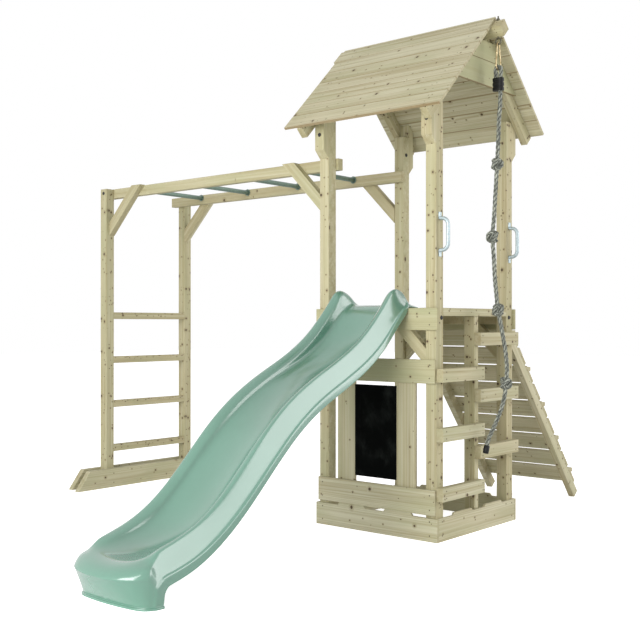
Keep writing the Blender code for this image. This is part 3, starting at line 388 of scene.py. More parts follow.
# Finishes
def side_axes(along):
    """Two unit vectors square to a grain direction."""
    helper = AXES[Z] if abs(along.z) < 0.9 else AXES[X]
    across = along.cross(helper).normalized()
    return across, along.cross(across).normalized()


def branch_knots(finish, places, radius, facing, spacing, sizes, share):
    """Knots that run out from the pith, as (knot, wood round it) masks that are 1 inside."""
    u, turn = places
    smallest, growth = sizes
    cell = finish.vector(u / spacing, turn * 1.6, 0.0)
    voronoi = {"voronoi_dimensions": "2D", "feature": "F1"}
    spot = finish.node("ShaderNodeTexVoronoi", voronoi, {"Vector": cell, "Scale": 1.0}, "Position")
    dice = finish.node("ShaderNodeTexVoronoi", voronoi, {"Vector": cell, "Scale": 1.0}, "Color")
    down = (finish.part(cell, 0) - finish.part(spot, 0)) * spacing
    round_way = (finish.part(cell, 1) - finish.part(spot, 1)) / 1.6 * radius
    reach = (down * down * 0.8 + round_way * round_way) ** 0.5
    size = smallest + finish.part(dice, 1) ** 3.0 * growth
    chosen = (finish.part(dice, 0) > 1.0 - share) * facing
    return finish.smooth(reach / size, 1.2, 0.8) * chosen, finish.smooth(reach / size, 3.2, 0.8) * chosen


def pine(name, middle, axes, settings, boards=None, parts=(), pale=0.0):
    """Sawn pine whose year rings, fibres and knots follow the grain.

    axes are the grain, the way across it and the way out of the timber. boards is (start, pitch, joint) where
    one solid holds several boards side by side, with the width of the dark joint between them. parts holds
    (test, grain) pairs: where test of the place is 1, the timber runs the other way. pale is painted light:
    above 0 the share of early-wood colour painted in as light, below 0 the treatment's green painted in as
    shade.
    """
    chance = random.Random(name)
    finish = Finish(name)
    place = finish.object_place()
    normal = finish.node("ShaderNodeNewGeometry", output="Normal")
    pith = (chance.uniform(-9, 9), chance.uniform(-0.03, 0.03), chance.uniform(0.05, 0.08))
    post = boards is None and max(abs(part) for part in axes[2]) < 0.99
    if post:
        pith = (pith[0], 0.0, chance.uniform(0.012, 0.026))
    levels = [axis.dot(middle) - offset for axis, offset in zip(axes, pith)]
    u, v, w = (finish.along(place, axis) - level for axis, level in zip(axes, levels))
    facing_v, facing_w = finish.along(normal, axes[1]), finish.along(normal, axes[2])
    for number, (test, other) in enumerate(parts, 1):
        mask = test(finish, place)
        turned = [other, *side_axes(other)]
        shift = [axis.dot(middle) - offset * (1 + 0.3 * number) for axis, offset in zip(turned, pith)]
        u, v, w = (
            old + mask * (finish.along(place, axis) - value - old)
            for old, axis, value in zip((u, v, w), turned, shift)
        )
        facing_v = facing_v + mask * (finish.along(normal, turned[1]) - facing_v)
        facing_w = facing_w + mask * (finish.along(normal, turned[2]) - facing_w)
    tone = chance.uniform(0.0, 1.0)
    joint = 0.0
    if boards:
        first, pitch, gap = boards
        row = (finish.along(place, axes[1]) - first) / pitch
        number = row.maths("FLOOR")
        tone_values = {"W": number * 1.7 + chance.uniform(0, 50)}
        tone = finish.node("ShaderNodeTexWhiteNoise", {"noise_dimensions": "1D"}, tone_values, "Value")
        u = u + number * 3.37
        v = (row - number - 0.5) * pitch + (tone - 0.5) * 0.07
        w = w + tone * 0.02
        if gap:
            joint = finish.smooth(abs(row - number - 0.5), 0.5 - gap / pitch, 0.5 - 0.4 * gap / pitch)
    warp = finish.noise(finish.vector(u * 1.1, v * 5.0, w * 5.0), 1.0, 2.0) - 0.5
    v = v + warp * 0.018
    radius = (v * v + w * w) ** 0.5
    turn = v.maths("ARCTAN2", w)
    facing = finish.smooth(abs(v * facing_v + w * facing_w) / radius, 0.30, 0.62)
    knot, halo = branch_knots(
        finish, (u, turn), radius, facing, settings.knot_spacing, (0.0032, settings.knot_radius),
        0.44 if post else 0.26)
    pin, pin_halo = branch_knots(
        finish, (u + 5.3, turn), radius, facing, 0.060, (0.0020, 0.0022), 0.28 if post else 0.10)
    knot = knot.maths("MAXIMUM", pin)
    halo = halo.maths("MAXIMUM", pin_halo * 0.6)

    rings = (radius + halo * 0.005) / settings.ring_spacing
    late = rings.maths("FRACT") ** 3.0
    fibre = finish.noise(finish.vector(u * 9.0, v * 420.0, w * 420.0), 1.0, 2.0)
    streak = finish.noise(finish.vector(u * 0.9, v * 30.0, w * 30.0), 1.0, 3.0, 0.6)
    early = finish.noise(finish.vector(u * 0.7 + 4.0, v * 55.0, w * 55.0), 1.0, 2.0, 0.6)
    cloud = finish.noise(finish.vector(u * 2.2, v * 9.0, w * 9.0), 1.0, 2.0)

    end = finish.smooth(abs(finish.along(normal, axes[0])), 0.75, 0.95)
    light = finish.mix(tone, colour(settings.yellow_pine), colour(settings.green_pine))
    # Painted light: a positive pale lightens the whole solid towards the early-wood colour, on top of its
    # real early-wood streaks
    early_wood_and_painted_light = finish.smooth(early, 0.48, 0.72) * 0.55 + max(pale, 0.0)
    light = finish.mix(early_wood_and_painted_light, light, colour(settings.early_wood))
    darker = late * 0.50 + finish.smooth(streak, 0.40, 0.72) * 0.50
    body = finish.mix(darker, light, colour(settings.late_wood))
    # Painted shade: a negative pale darkens the whole solid towards the treatment's green, on top of its real
    # treated patches
    treatment_and_painted_shade = finish.smooth(cloud, 0.42, 0.70) * 0.40 + max(-pale, 0.0)
    body = finish.mix(treatment_and_painted_shade, body, colour(settings.treated))
    body = finish.mix(finish.smooth(fibre, 0.50, 0.80) * 0.25, body, colour(settings.late_wood))
    body = finish.mix(end * 0.30, body, colour(settings.late_wood))
    body = finish.mix(halo * 0.38, body, colour(settings.knot_halo))
    body = finish.mix(knot * 0.92, body, colour(settings.knot))
    if boards and boards[2]:
        body = finish.mix(joint * 0.75, body, colour(settings.knot_halo))
    finish.bump(late * 0.35 + fibre * 0.65 - knot * 0.5 - joint * 3.0, 0.0009, 0.45)
    return finish.set(Base_Color=body, Roughness=0.60 + fibre * 0.18 + knot * 0.08)


def mint_plastic(settings):
    """Blow-moulded plastic with a fine grain and long sliding scuffs down the bed."""
    finish = Finish("mint_plastic")
    place = finish.object_place()
    x, y, z = (finish.part(place, axis) for axis in range(3))
    cloud = finish.noise(place, 3.0, 3.0)
    grain = finish.noise(place, 900.0, 2.0)
    ripple = finish.noise(place, 14.0, 2.0)
    scuff = finish.noise(finish.vector(x * 240.0, y * 3.0, z * 3.0), 1.0, 3.0, 0.6)
    bed = finish.smooth(abs(x - TOWER.x), 0.165, 0.120)
    scuffed = finish.smooth(scuff, 0.56, 0.72) * bed
    base = finish.mix(finish.smooth(cloud, 0.3, 0.7), colour(settings.colour), colour(settings.deep_colour))
    base = finish.mix(scuffed * 0.05, base, colour(settings.scuff_colour))
    finish.bump(grain * 0.10 + ripple * 0.5, settings.texture_depth, 0.30)
    finish.set(Coat_Weight=1.0, Coat_Roughness=0.15, Coat_IOR=1.7)
    return finish.set(Base_Color=base, Roughness=settings.roughness + scuffed * 0.03 + cloud * 0.06)


def zinc_steel(name, steel, dull):
    """Galvanised steel with faint spangles."""
    finish = Finish(name)
    place = finish.object_place()
    spangle = finish.node("ShaderNodeTexVoronoi", None, {"Vector": place, "Scale": 190.0}, "Color")
    patch = finish.part(spangle, 0)
    brushed = finish.noise(place, 60.0, 3.0)
    base = finish.mix(patch * 0.5 + brushed * 0.3, colour(steel), colour(dull))
    finish.bump(brushed, 0.0002, 0.3)
    return finish.set(Base_Color=base, Metallic=0.55, Roughness=0.36 + patch * 0.14 + brushed * 0.08)


def yellow_zinc(settings):
    finish = Finish("yellow_zinc")
    place = finish.object_place()
    tarnish = finish.noise(place, 55.0, 3.0)
    base = finish.mix(finish.smooth(tarnish, 0.4, 0.7), colour(settings.brass), colour(settings.brass_dark))
    return finish.set(Base_Color=base, Metallic=0.85, Roughness=0.28 + tarnish * 0.2)


def black_plastic():
    finish = Finish("black_plastic")
    place = finish.object_place()
    grain = finish.noise(place, 700.0, 2.0)
    dust = finish.noise(place, 18.0, 3.0)
    dusty = finish.smooth(dust, 0.5, 0.8) * 0.5
    base = finish.mix(dusty, colour(BLACK_PLASTIC), colour(DUSTY_PLASTIC))
    finish.bump(grain, 0.0002, 0.4)
    finish.set(Specular_IOR_Level=0.3)
    return finish.set(Base_Color=base, Roughness=0.42 + grain * 0.16)


def dark_screw_steel():
    finish = Finish("dark_screw_steel")
    place = finish.object_place()
    worn = finish.noise(place, 420.0, 2.0)
    base = finish.mix(worn, colour(SCREW_STEEL), colour(WORN_SCREW_STEEL))
    return finish.set(Base_Color=base, Metallic=0.6, Roughness=0.45 + worn * 0.2)


def chalkboard_paint():
    """Matt black paint with faint clouds of wiped chalk and brush lines."""
    finish = Finish("chalkboard")
    place = finish.object_place()
    x, y, z = (finish.part(place, axis) for axis in range(3))
    cloud = finish.noise(finish.vector(x * 1.0, y, z * 0.7), 9.0, 4.0, 0.62)
    wipe = finish.noise(finish.vector(x * 14.0 + z * 9.0, y, z * 3.0 - x * 6.0), 1.0, 3.0, 0.6)
    grain = finish.noise(place, 800.0, 2.0)
    dust = finish.smooth(cloud, 0.44, 0.70) * finish.smooth(wipe, 0.30, 0.7)
    base = finish.mix(dust, colour(CHALKBOARD_BLACK), colour(CHALK_CLOUD))
    finish.bump(grain, 0.0003, 0.4)
    finish.set(Specular_IOR_Level=0.04)
    return finish.set(Base_Color=base, Roughness=0.80 + dust * 0.12)


def rope_fibre(settings):
    """Three laid strands with fine yarns. In the UV map x goes round the rope and y is its length in lays."""
    finish = Finish("rope_fibre")
    uv = finish.node("ShaderNodeUVMap", {"uv_map": "lay"})
    round_way, lays = finish.part(uv, 0), finish.part(uv, 1)
    strand = (round_way * 3.0).maths("FRACT")
    edge = abs(strand - 0.5) * 2.0
    number = (round_way * 3.0).maths("FLOOR")
    yarn = finish.noise(finish.vector((round_way + lays) * 85.0, lays * 6.0, number * 5.0), 1.0, 2.0)
    band = finish.noise(finish.vector((round_way + lays) * 16.0, lays * 1.5, number * 9.0), 1.0, 1.0)
    pale = finish.smooth(band * 0.7 + yarn * 0.3, 0.44, 0.60)
    base = finish.mix(pale, colour(settings.dark), colour(settings.pale))
    # Painted shade: each strand's edges darken towards the groove between strands, where shade falls
    base = finish.mix(finish.smooth(edge, 0.45, 1.0) * 0.8, base, colour(settings.groove_shade))
    finish.bump(yarn - edge * edge * 0.8, 0.0012, 0.7)
    return finish.set(Base_Color=base, Roughness=0.82 + yarn * 0.12)


# Modelling helpers
def to_object_mode():
    bpy.ops.object.mode_set(mode="OBJECT")


def clear_selection():
    if bpy.context.mode != "OBJECT":
        to_object_mode()
    bpy.ops.object.select_all(action="DESELECT")


def make_active(obj):
    clear_selection()
    obj.select_set(True)
    bpy.context.view_layer.objects.active = obj


def add_object(name, data):
    obj = bpy.data.objects.new(name, data)
    bpy.context.scene.collection.objects.link(obj)
    return obj


def object_from(name, shape):
    """An object made of a bmesh, with its faces turned outwards."""
    bmesh.ops.recalc_face_normals(shape, faces=shape.faces)
    mesh = bpy.data.meshes.new(name)
    shape.to_mesh(mesh)
    shape.free()
    return add_object(name, mesh)


def moved_copy(master, name, move):
    """A copy with its own mesh, which a matrix puts in its place."""
    obj = add_object(name, master.data.copy())
    obj.data.transform(move)
    return obj


def turn_from_z(direction):
    """The matrix that turns +Z to a direction."""
    return AXES[Z].rotation_difference(direction).to_matrix().to_4x4()


def apply_modifier(obj, kind, **settings):
    make_active(obj)
    modifier = obj.modifiers.new(kind.lower(), kind)
    for key, value in settings.items():
        setattr(modifier, key, value)
    bpy.ops.object.modifier_apply(modifier=modifier.name)


def ease_edges(obj, width, angle=0.9, segments=2):
    """Bevels the edges that turn by more than an angle."""
    apply_modifier(obj, "BEVEL", width=width, segments=segments, limit_method="ANGLE", angle_limit=angle)


def choose_faces(obj, test):
    """Leaves the object in edit mode with only the faces selected that pass the test."""
    make_active(obj)
    bpy.ops.object.mode_set(mode="EDIT")
    bpy.ops.mesh.select_mode(type="FACE")
    bpy.ops.mesh.select_all(action="DESELECT")
    to_object_mode()
    for face in obj.data.polygons:
        face.select = test(face)
    bpy.ops.object.mode_set(mode="EDIT")


def cylinder(name, radius, depth, place, sides=24, turn=(0, 0, 0)):
    clear_selection()
    bpy.ops.mesh.primitive_cylinder_add(
        vertices=sides, radius=radius, depth=depth, location=place, rotation=turn)
    obj = bpy.context.object
    obj.name = name
    bpy.ops.object.transform_apply(location=False, rotation=True, scale=True)
    return obj


def join(first, others):
    make_active(first)
    for other in others:
        other.select_set(True)
    bpy.ops.object.join()
    return first


def finish_piece(obj, name, material, body="tower", angle=40):
    """Puts the piece's place in its mesh, shades it and lets it ride on its body."""
    make_active(obj)
    bpy.ops.object.transform_apply(location=True, rotation=True, scale=True)
    obj.name = name
    obj.data.name = name
    obj.data.materials.clear()
    obj.data.materials.append(material)
    for face in obj.data.polygons:
        face.material_index = 0
    bpy.ops.object.shade_smooth_by_angle(angle=math.radians(angle))
    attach(obj, body)
    return obj


def copy_of_node(node, name):
    """A merged copy of a CAD solid's mesh that can be finished."""
    obj = add_object(name, NODES[node].data.copy())
    make_active(obj)
    bpy.ops.object.mode_set(mode="EDIT")
    bpy.ops.mesh.select_all(action="SELECT")
    bpy.ops.mesh.remove_doubles(threshold=0.00002)
    bpy.ops.mesh.customdata_custom_splitnormals_clear()
    to_object_mode()
    return obj


def wire_loop(name, points, radius):
    """A closed loop of round wire through points, made a mesh."""
    curve = bpy.data.curves.new(name, "CURVE")
    curve.dimensions = "3D"
    curve.bevel_depth = radius
    curve.bevel_resolution = 5
    spline = curve.splines.new("POLY")
    spline.points.add(len(points) - 1)
    for point, place in zip(spline.points, points):
        point.co = (*place, 1.0)
    spline.use_cyclic_u = True
    make_active(add_object(name, curve))
    bpy.ops.object.convert(target="MESH")
    obj = bpy.context.object
    bpy.ops.object.mode_set(mode="EDIT")
    bpy.ops.mesh.select_all(action="SELECT")
    bpy.ops.mesh.remove_doubles(threshold=0.00001)
    bpy.ops.mesh.normals_make_consistent(inside=False)
    to_object_mode()
    return obj


def stand_copies(master, name, places):
    """Copies a small piece, whose axis is +Z, to each (place, outward direction) and joins the copies."""
    moves = [Matrix.Translation(place) @ turn_from_z(outward) for place, outward in places]
    first, *others = [moved_copy(master, name, move) for move in moves]
    return join(first, others)


# Timber
def timber_axes(node, grain, core):
    """The grain, the way across it and the way out of a board's thin side or of a post's corner."""
    low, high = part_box(node)
    size = high - low
    if grain is None:
        grain = AXES[max(range(3), key=lambda axis: size[axis])]
    across, out = side_axes(grain)
    if core:
        return [grain, (across + out).normalized(), (out - across).normalized()]
    if max(abs(part) for part in grain) < 0.99:
        return [grain, across, out]
    wide = abs(size.dot(across))
    thick = abs(size.dot(out))
    if wide < 0.6 * thick:
        across, out = out, across
    elif thick > 0.6 * wide:
        across, out = (across + out).normalized(), (out - across).normalized()
    return [grain, across, out]


def dress_node(node, material):
    """Gives a CAD solid a material and leaves its mesh as it is."""
    for slot in NODES[node].material_slots:
        slot.material = material


def give_pine(node, settings, grain=None, boards=None, parts=(), core=None, pale=0.0):
    """boards is (direction, start, pitch, joint) for a solid of several boards side by side.

    core is the middle of a square post whose solid also holds other timber.
    """
    low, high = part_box(node)
    axes = timber_axes(node, grain, core)
    if boards:
        axes = [axes[0], boards[0], axes[0].cross(boards[0])]
        boards = boards[1:]
    # pale is painted light (above 0) or painted shade (below 0), which pine mixes into the wood's colour
    dress_node(node, pine(f"pine_{node}", core or (low + high) / 2, axes, settings, boards, parts, pale))


def past_tower_half(axis, distance):
    """A test that is 1 where the place is further than this from the tower's middle along an axis."""
    def test(finish, place):
        return abs(finish.along(place, AXES[axis]) - TOWER[axis]) > distance
    return test


def inside_tower_half(axis, distance):
    """A test that is 1 where the place is nearer than this to the tower's middle along an axis."""
    def test(finish, place):
        return abs(finish.along(place, AXES[axis]) - TOWER[axis]) < distance
    return test


def under(direction, level):
    """A test that is 1 short of a level along a direction."""
    def test(finish, place):
        return finish.along(place, direction) < level
    return test


def down_ramp():
    return Vector((0, math.cos(RAMP_ANGLE), -math.sin(RAMP_ANGLE)))


def out_of_ramp():
    return Vector((0, math.sin(RAMP_ANGLE), math.cos(RAMP_ANGLE)))


def ramp_start():
    return TOWER + Vector((0, CLAD + RAMP_START, DECK_TOP))


def down_roof(side):
    return Vector((0, side * DIAGONAL, -DIAGONAL))


def roof_ridge():
    return TOWER + Vector((0, 0, RIDGE_TOP))


# Painted light and shade in the timber's colour, from 1 for the most painted light down to -1 for the
# greenest
# painted shade: the roof, ramp and low boards get painted light, the gables, fascia and upper rail painted
# shade
ROOF_PAINTED_LIGHT = 0.60
GABLE_PAINTED_SHADE = -0.70
RAMP_PAINTED_LIGHT = 0.50

# Solids of one piece of timber each, with the light (above 0) or shade (below 0) painted into their colour
PLAIN_TIMBER = {
    "base_board_back": 0.30, "base_board_front": 0.30, "deck_beam_back": 0.0, "deck_beam_front": 0.0,
    "fascia_ramp_side": -0.50, "fascia_slide_side": -0.50, "ladder_post_far": 0.0, "ladder_post_near": 0.0,
    "lower_rail_board": 0.60, "ridge_beam": 0.0, "rung_1": 0.0, "rung_2": 0.0, "rung_3": 0.0, "rung_4": 0.0,
    "sandbox_back": 0.60, "sandbox_front": 0.60, "sandbox_ramp_side": 0.60, "sandbox_slide_side": 0.60,
    "step_far_1": 0.30, "step_far_2": 0.30, "step_far_3": 0.30, "step_near_1": 0.30, "step_near_2": 0.30,
    "step_near_3": 0.30, "step_post": 0.0, "upper_rail_board": -0.30, "upright_left": 0.30,
    "upright_right": 0.30,
}


# Settings
def colour_setting(name, description, default):
    """A colour that the user can change."""
    return FloatVectorProperty(
        name=name, description=description, subtype="COLOR", default=default, min=0, max=1)


def length_setting(name, description, default, smallest, largest):
    """A length that the user can change."""
    return FloatProperty(
        name=name, description=description, unit="LENGTH", default=default, min=smallest, max=largest)


def power_setting(name, description, default):
    """A light's power that the user can change."""
    return FloatProperty(name=name, description=description, unit="POWER", default=default, min=0, max=5000)


class TimberSettings(bpy.types.PropertyGroup):
    yellow_pine: colour_setting("Yellow pine", "Colour of the warmer boards", (0.510, 0.452, 0.275))
    green_pine: colour_setting("Green pine", "Colour of the cooler, treated boards", (0.475, 0.450, 0.280))
    # Also the colour that a positive pale paints in as light
    early_wood: colour_setting("Early wood", "Colour of the palest streaks", (0.610, 0.580, 0.420))
    late_wood: colour_setting("Late wood", "Colour of the year rings' dark part", (0.310, 0.250, 0.120))
    # Also the colour that a negative pale paints in as shade
    treated: colour_setting(
        "Treatment", "Green tinge that the pressure treatment leaves in patches", (0.385, 0.385, 0.215))
    knot_halo: colour_setting("Round the knots", "Colour of the wood round a knot", (0.225, 0.150, 0.062))
    knot: colour_setting("Knots", "Colour of the knots", (0.060, 0.034, 0.015))
    ring_spacing: length_setting("Year rings", "Distance between two year rings", 0.0062, 0.001, 0.03)
    knot_spacing: length_setting(
        "Knot spacing", "Distance along the grain in which a knot can stand", 0.115, 0.03, 1.0)
    knot_radius: length_setting("Knot size", "Radius of the largest knots", 0.0060, 0.001, 0.03)


class SlideSettings(bpy.types.PropertyGroup):
    colour: colour_setting("Colour", "Colour of the slide's plastic", (0.125, 0.285, 0.210))
    deep_colour: colour_setting(
        "Deep colour", "Colour of the slightly darker patches", (0.112, 0.262, 0.190))
    scuff_colour: colour_setting("Scuffs", "Colour of the fine scuffs down the bed", (0.27, 0.43, 0.35))
    roughness: FloatProperty(
        name="Roughness", description="Roughness of the plastic", subtype="FACTOR",
        default=0.20, min=0, max=1)
    texture_depth: length_setting("Grain depth", "Depth of the mould's fine texture", 0.0006, 0, 0.005)


class MetalSettings(bpy.types.PropertyGroup):
    steel: colour_setting("Steel", "Colour of the galvanised steel", (0.230, 0.315, 0.265))
    steel_dark: colour_setting("Dull steel", "Colour of the dull spangles", (0.130, 0.190, 0.155))
    handle: colour_setting("Handle steel", "Colour of the grab handles' brighter zinc", (0.52, 0.60, 0.62))
    handle_dark: colour_setting(
        "Dull handle steel", "Colour of the handles' dull spangles", (0.32, 0.40, 0.43))
    brass: colour_setting("Yellow zinc", "Colour of the link's plating", (0.62, 0.51, 0.31))
    brass_dark: colour_setting("Tarnish", "Colour of the plating's dull places", (0.34, 0.25, 0.12))
    flange_radius: length_setting(
        "Flange radius", "Radius of the flanges on the bars' ends", 0.0200, 0.0165, 0.04)


class RopeSettings(bpy.types.PropertyGroup):
    lay: length_setting("Lay", "Length of rope in which a strand goes round once", 0.096, 0.03, 0.3)
    sides: IntProperty(
        name="Faces round", description="Faces round the rope", default=24, min=12, max=48)
    pale: colour_setting("Pale yarn", "Colour of the pale yarns", (0.44, 0.46, 0.39))
    dark: colour_setting("Dark yarn", "Colour of the dark yarns", (0.110, 0.118, 0.100))
    # Painted shade: the dark colour painted on the strands' edges at the grooves between them
    groove_shade: colour_setting("Groove", "Colour between the strands", (0.022, 0.024, 0.021))
    knot_radius: length_setting(
        "Knot radius", "Radius of a knot, without the rope that it is tied in", 0.0185, 0.01, 0.04)


class FastenerSettings(bpy.types.PropertyGroup):
    screw_radius: length_setting("Screw head", "Radius of the wood screws' heads", 0.0040, 0.002, 0.01)
    cap_radius: length_setting("Bolt cap", "Radius of the bolts' black caps", 0.0125, 0.005, 0.03)


class StageSettings(bpy.types.PropertyGroup):
    floor_colour: colour_setting("Floor", "Colour of the floor", (0.93, 0.93, 0.93))
    floor_glow: FloatProperty(
        name="Floor glow", description="Light that the floor shows the camera on top of its own",
        default=0.70, min=0, max=5)
    sky: FloatProperty(
        name="Sky", description="Strength of the even light from all round", default=0.40, min=0, max=5)
    backdrop: FloatProperty(
        name="Backdrop", description="Brightness of the backdrop behind the tower", default=1.0, min=0, max=5)
    key: power_setting("Key light", "Power of the large soft light in front, on the left", 570.0)
    side: power_setting("Side light", "Power of the large soft light behind, on the right", 300.0)


SETTINGS = {
    "play_timber": TimberSettings,
    "play_slide": SlideSettings,
    "play_metal": MetalSettings,
    "play_rope": RopeSettings,
    "play_fasteners": FastenerSettings,
    "play_stage": StageSettings,
}


# Camera and cord
class PLAYTOWER_OT_camera(bpy.types.Operator):
    """Sets the camera to the photograph's viewing angle"""
    bl_idname = "play_tower.camera"
    bl_label = "Camera"

    def execute(self, context):
        camera = bpy.data.cameras.new("camera")
        camera.lens = CAMERA_LENS
        obj = add_object("camera", camera)
        obj.location = TOWER + CAMERA_PLACE
        obj.rotation_euler = CAMERA_TURN
        context.scene.camera = obj
        return {"FINISHED"}


def smooth_route(points, step):
    """Points about a step apart on a smooth line through the given ones."""
    vectors = [Vector(point) for point in points]
    line = []
    for index in range(len(vectors) - 1):
        before = vectors[max(index - 1, 0)]
        after = vectors[min(index + 2, len(vectors) - 1)]
        a, b = vectors[index], vectors[index + 1]
        count = max(1, round((b - a).length / step))
        for number in range(count):
            t = number / count
            line.append(0.5 * (
                2 * a + (b - before) * t + (2 * before - 5 * a + 4 * b - after) * t ** 2
                + (3 * a - before - 3 * b + after) * t ** 3
            ))
    line.append(vectors[-1])
    return line


def rope_path():
    """From the short tail under the clamp, up over the link, down again and on to the end cap."""
    link_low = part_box("rope_link")[0].z + LINK_WIRE
    bight = ROPE_RADIUS + LINK_WIRE + GAP
    left = HANGER_X - ROPE_LEG_HALF
    points = [(left, 0, CLAMP_LOW + GAP), (left, 0, CLAMP_TOP)]
    for step in range(BIGHT_STEPS + 1):
        turn = math.pi * (1 - step / BIGHT_STEPS)
        points.append((HANGER_X + bight * math.cos(turn), 0, link_low + bight * math.sin(turn)))
    points += [(HANGER_X + ROPE_LEG_HALF, 0, CLAMP_TOP), ROPE_ROUTE[0]]
    line = []
    for first, second in zip(points, points[1:]):
        first, second = Vector(first), Vector(second)
        count = max(1, round((second - first).length / ROPE_STEP))
        line += [first.lerp(second, step / count) for step in range(count)]
    return [TOWER + point for point in line + smooth_route(ROPE_ROUTE, ROUTE_STEP)]


def strand_radius(turn):
    """Distance from a laid rope's middle to its surface, as a share of its radius. turn is in strands."""
    across = (turn % 1.0 - 0.5) * math.radians(120)
    beside = STRAND_OFFSET * math.sin(across)
    return STRAND_OFFSET * math.cos(across) + math.sqrt(STRAND_RADIUS ** 2 - beside ** 2)


def laid_rope(name, path, radius, settings, closed=False):
    """Three strands laid round each other along a path, with a UV map that follows them."""
    count = len(path)
    lengths = [0.0]
    for first, second in zip(path, path[1:]):
        lengths.append(lengths[-1] + (second - first).length)
    total = lengths[-1] + ((path[0] - path[-1]).length if closed else 0.0)
    lay = total / max(1, round(total / settings.lay)) if closed else settings.lay
    tangents = []
    for index in range(count):
        before = path[(index - 1) % count] if closed else path[max(index - 1, 0)]
        after = path[(index + 1) % count] if closed else path[min(index + 1, count - 1)]
        tangents.append((after - before).normalized())
    side = side_axes(tangents[0])[0]
    sides = [side]
    for first, second in zip(tangents, tangents[1:]):
        side = first.rotation_difference(second) @ side
        sides.append(side)
    slip = 0.0
    if closed:
        last = tangents[-1].rotation_difference(tangents[0]) @ sides[-1]
        up = tangents[0].cross(sides[0])
        slip = math.atan2(last.dot(up), last.dot(sides[0]))
    shape = bmesh.new()
    layer = shape.loops.layers.uv.new("lay")
    rings = []
    for place, tangent, across, length in zip(path, tangents, sides, lengths):
        up = tangent.cross(across)
        ring = []
        for number in range(settings.sides):
            share = number / settings.sides
            turn = 2 * math.pi * (share + length / lay) - slip * length / total
            out = across * math.cos(turn) + up * math.sin(turn)
            ring.append(shape.verts.new(place + out * radius * strand_radius(3 * share)))
        rings.append(ring)
    pairs = list(zip(rings, rings[1:], lengths, lengths[1:]))
    if closed:
        pairs.append((rings[-1], rings[0], lengths[-1], total))
    for first, second, low, high in pairs:
        for number in range(settings.sides):
            after = (number + 1) % settings.sides
            face = shape.faces.new((first[number], first[after], second[after], second[number]))
            marks = ((number, low), (number + 1, low), (number + 1, high), (number, high))
            for loop, (step, length) in zip(face.loops, marks):
                loop[layer].uv = (step / settings.sides, length / lay)
    if not closed:
        shape.faces.new(rings[0])
        shape.faces.new(rings[-1])
    obj = object_from(name, shape)
    obj.data.shade_smooth()
    return obj


def knot_path(settings):
    """A round knot about Z: rope twice round the standing part and three times over and under itself."""
    points = []
    for step in range(KNOT_STEPS):
        turn = 2 * math.pi * step / KNOT_STEPS
        wide = settings.knot_radius + KNOT_WEAVE * math.cos(3 * turn)
        high = KNOT_HALF * math.sin(3 * turn)
        points.append(Vector((wide * math.cos(2 * turn), wide * math.sin(2 * turn), high)))
    return points


class PLAYTOWER_OT_rope(bpy.types.Operator):
    """Lays the knotted rope, with its clamp at the top and its end cap"""
    bl_idname = "play_tower.rope"
    bl_label = "Knotted rope"

    def execute(self, context):
        settings = context.scene.play_rope
        material = rope_fibre(settings)
        path = rope_path()
        rope = laid_rope("knotted_rope", path, ROPE_RADIUS, settings)
        rope.data.materials.append(material)
        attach(rope, "climbing_rope")
        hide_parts("climbing_rope")
        master = laid_rope("knot", knot_path(settings), ROPE_RADIUS * KNOT_ROPE, settings, closed=True)
        master.data.materials.append(material)
        below = [point for point in path if point.z < CLAMP_LOW]
        for number, height in enumerate(KNOT_CENTRES, 1):
            nearest = min(range(1, len(below) - 1), key=lambda index: abs(below[index].z - height))
            down = below[nearest + 1] - below[nearest - 1]
            turn = turn_from_z(down) @ Matrix.Rotation(KNOT_TURN * number, 4, "Z")
            knot = moved_copy(master, f"rope_knot_{number}", Matrix.Translation(below[nearest]) @ turn)
            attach(knot, "climbing_rope")
        bpy.data.objects.remove(master, do_unlink=True)
        black = black_plastic()
        for node, name, width in (
            ("rope_clamp", "clamp_shell", 0.0010), ("rope_end_cap", "end_cap_shell", 0.0012),
        ):
            piece = copy_of_node(node, name)
            ease_edges(piece, width, 0.8)
            finish_piece(piece, name, black, "climbing_rope", angle=50)
            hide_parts(node)
        tuple(path[0])
        sum((b - a).length for a, b in zip(path, path[1:]))
        [tuple(point) for point in path]
        return {"FINISHED"}


# Timber finishes
class PLAYTOWER_OT_frame_timber(bpy.types.Operator):
    """Gives the posts, boards, steps, sandbox and deck their grained pine"""
    bl_idname = "play_tower.frame_timber"
    bl_label = "Frame timber"

    def execute(self, context):
        settings = context.scene.play_timber
        # Each solid gets the painted light or painted shade that the table gives it
        for node, pale in PLAIN_TIMBER.items():
            give_pine(node, settings, pale=pale)
        for side_x, name_x in ((1, "front"), (-1, "back")):
            knee = Vector((-side_x * DIAGONAL, 0, DIAGONAL))
            for name_y in ("slide", "ramp"):
                side_y = -1 if name_y == "slide" else 1
                give_pine(
                    f"post_{name_x}_{name_y}_side", settings, AXES[Z],
                    core=TOWER + Vector((side_x * POST_MIDDLE, side_y * POST_MIDDLE, POST_MIDHEIGHT)),
                    parts=(
                        (inside_tower_half(X, POST_INNER), knee), (past_tower_half(Y, TOWER_HALF), AXES[Z]),
                    ),
                )
        low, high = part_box("deck")
        pitch = (high.x - low.x) / DECK_PLANKS
        give_pine(
            "deck", settings, AXES[Y], boards=(AXES[X], low.x, pitch, 0),
            parts=((under(AXES[Z], DECK_TOP - DECK_PLANK), AXES[X]),),
        )
        return {"FINISHED"}


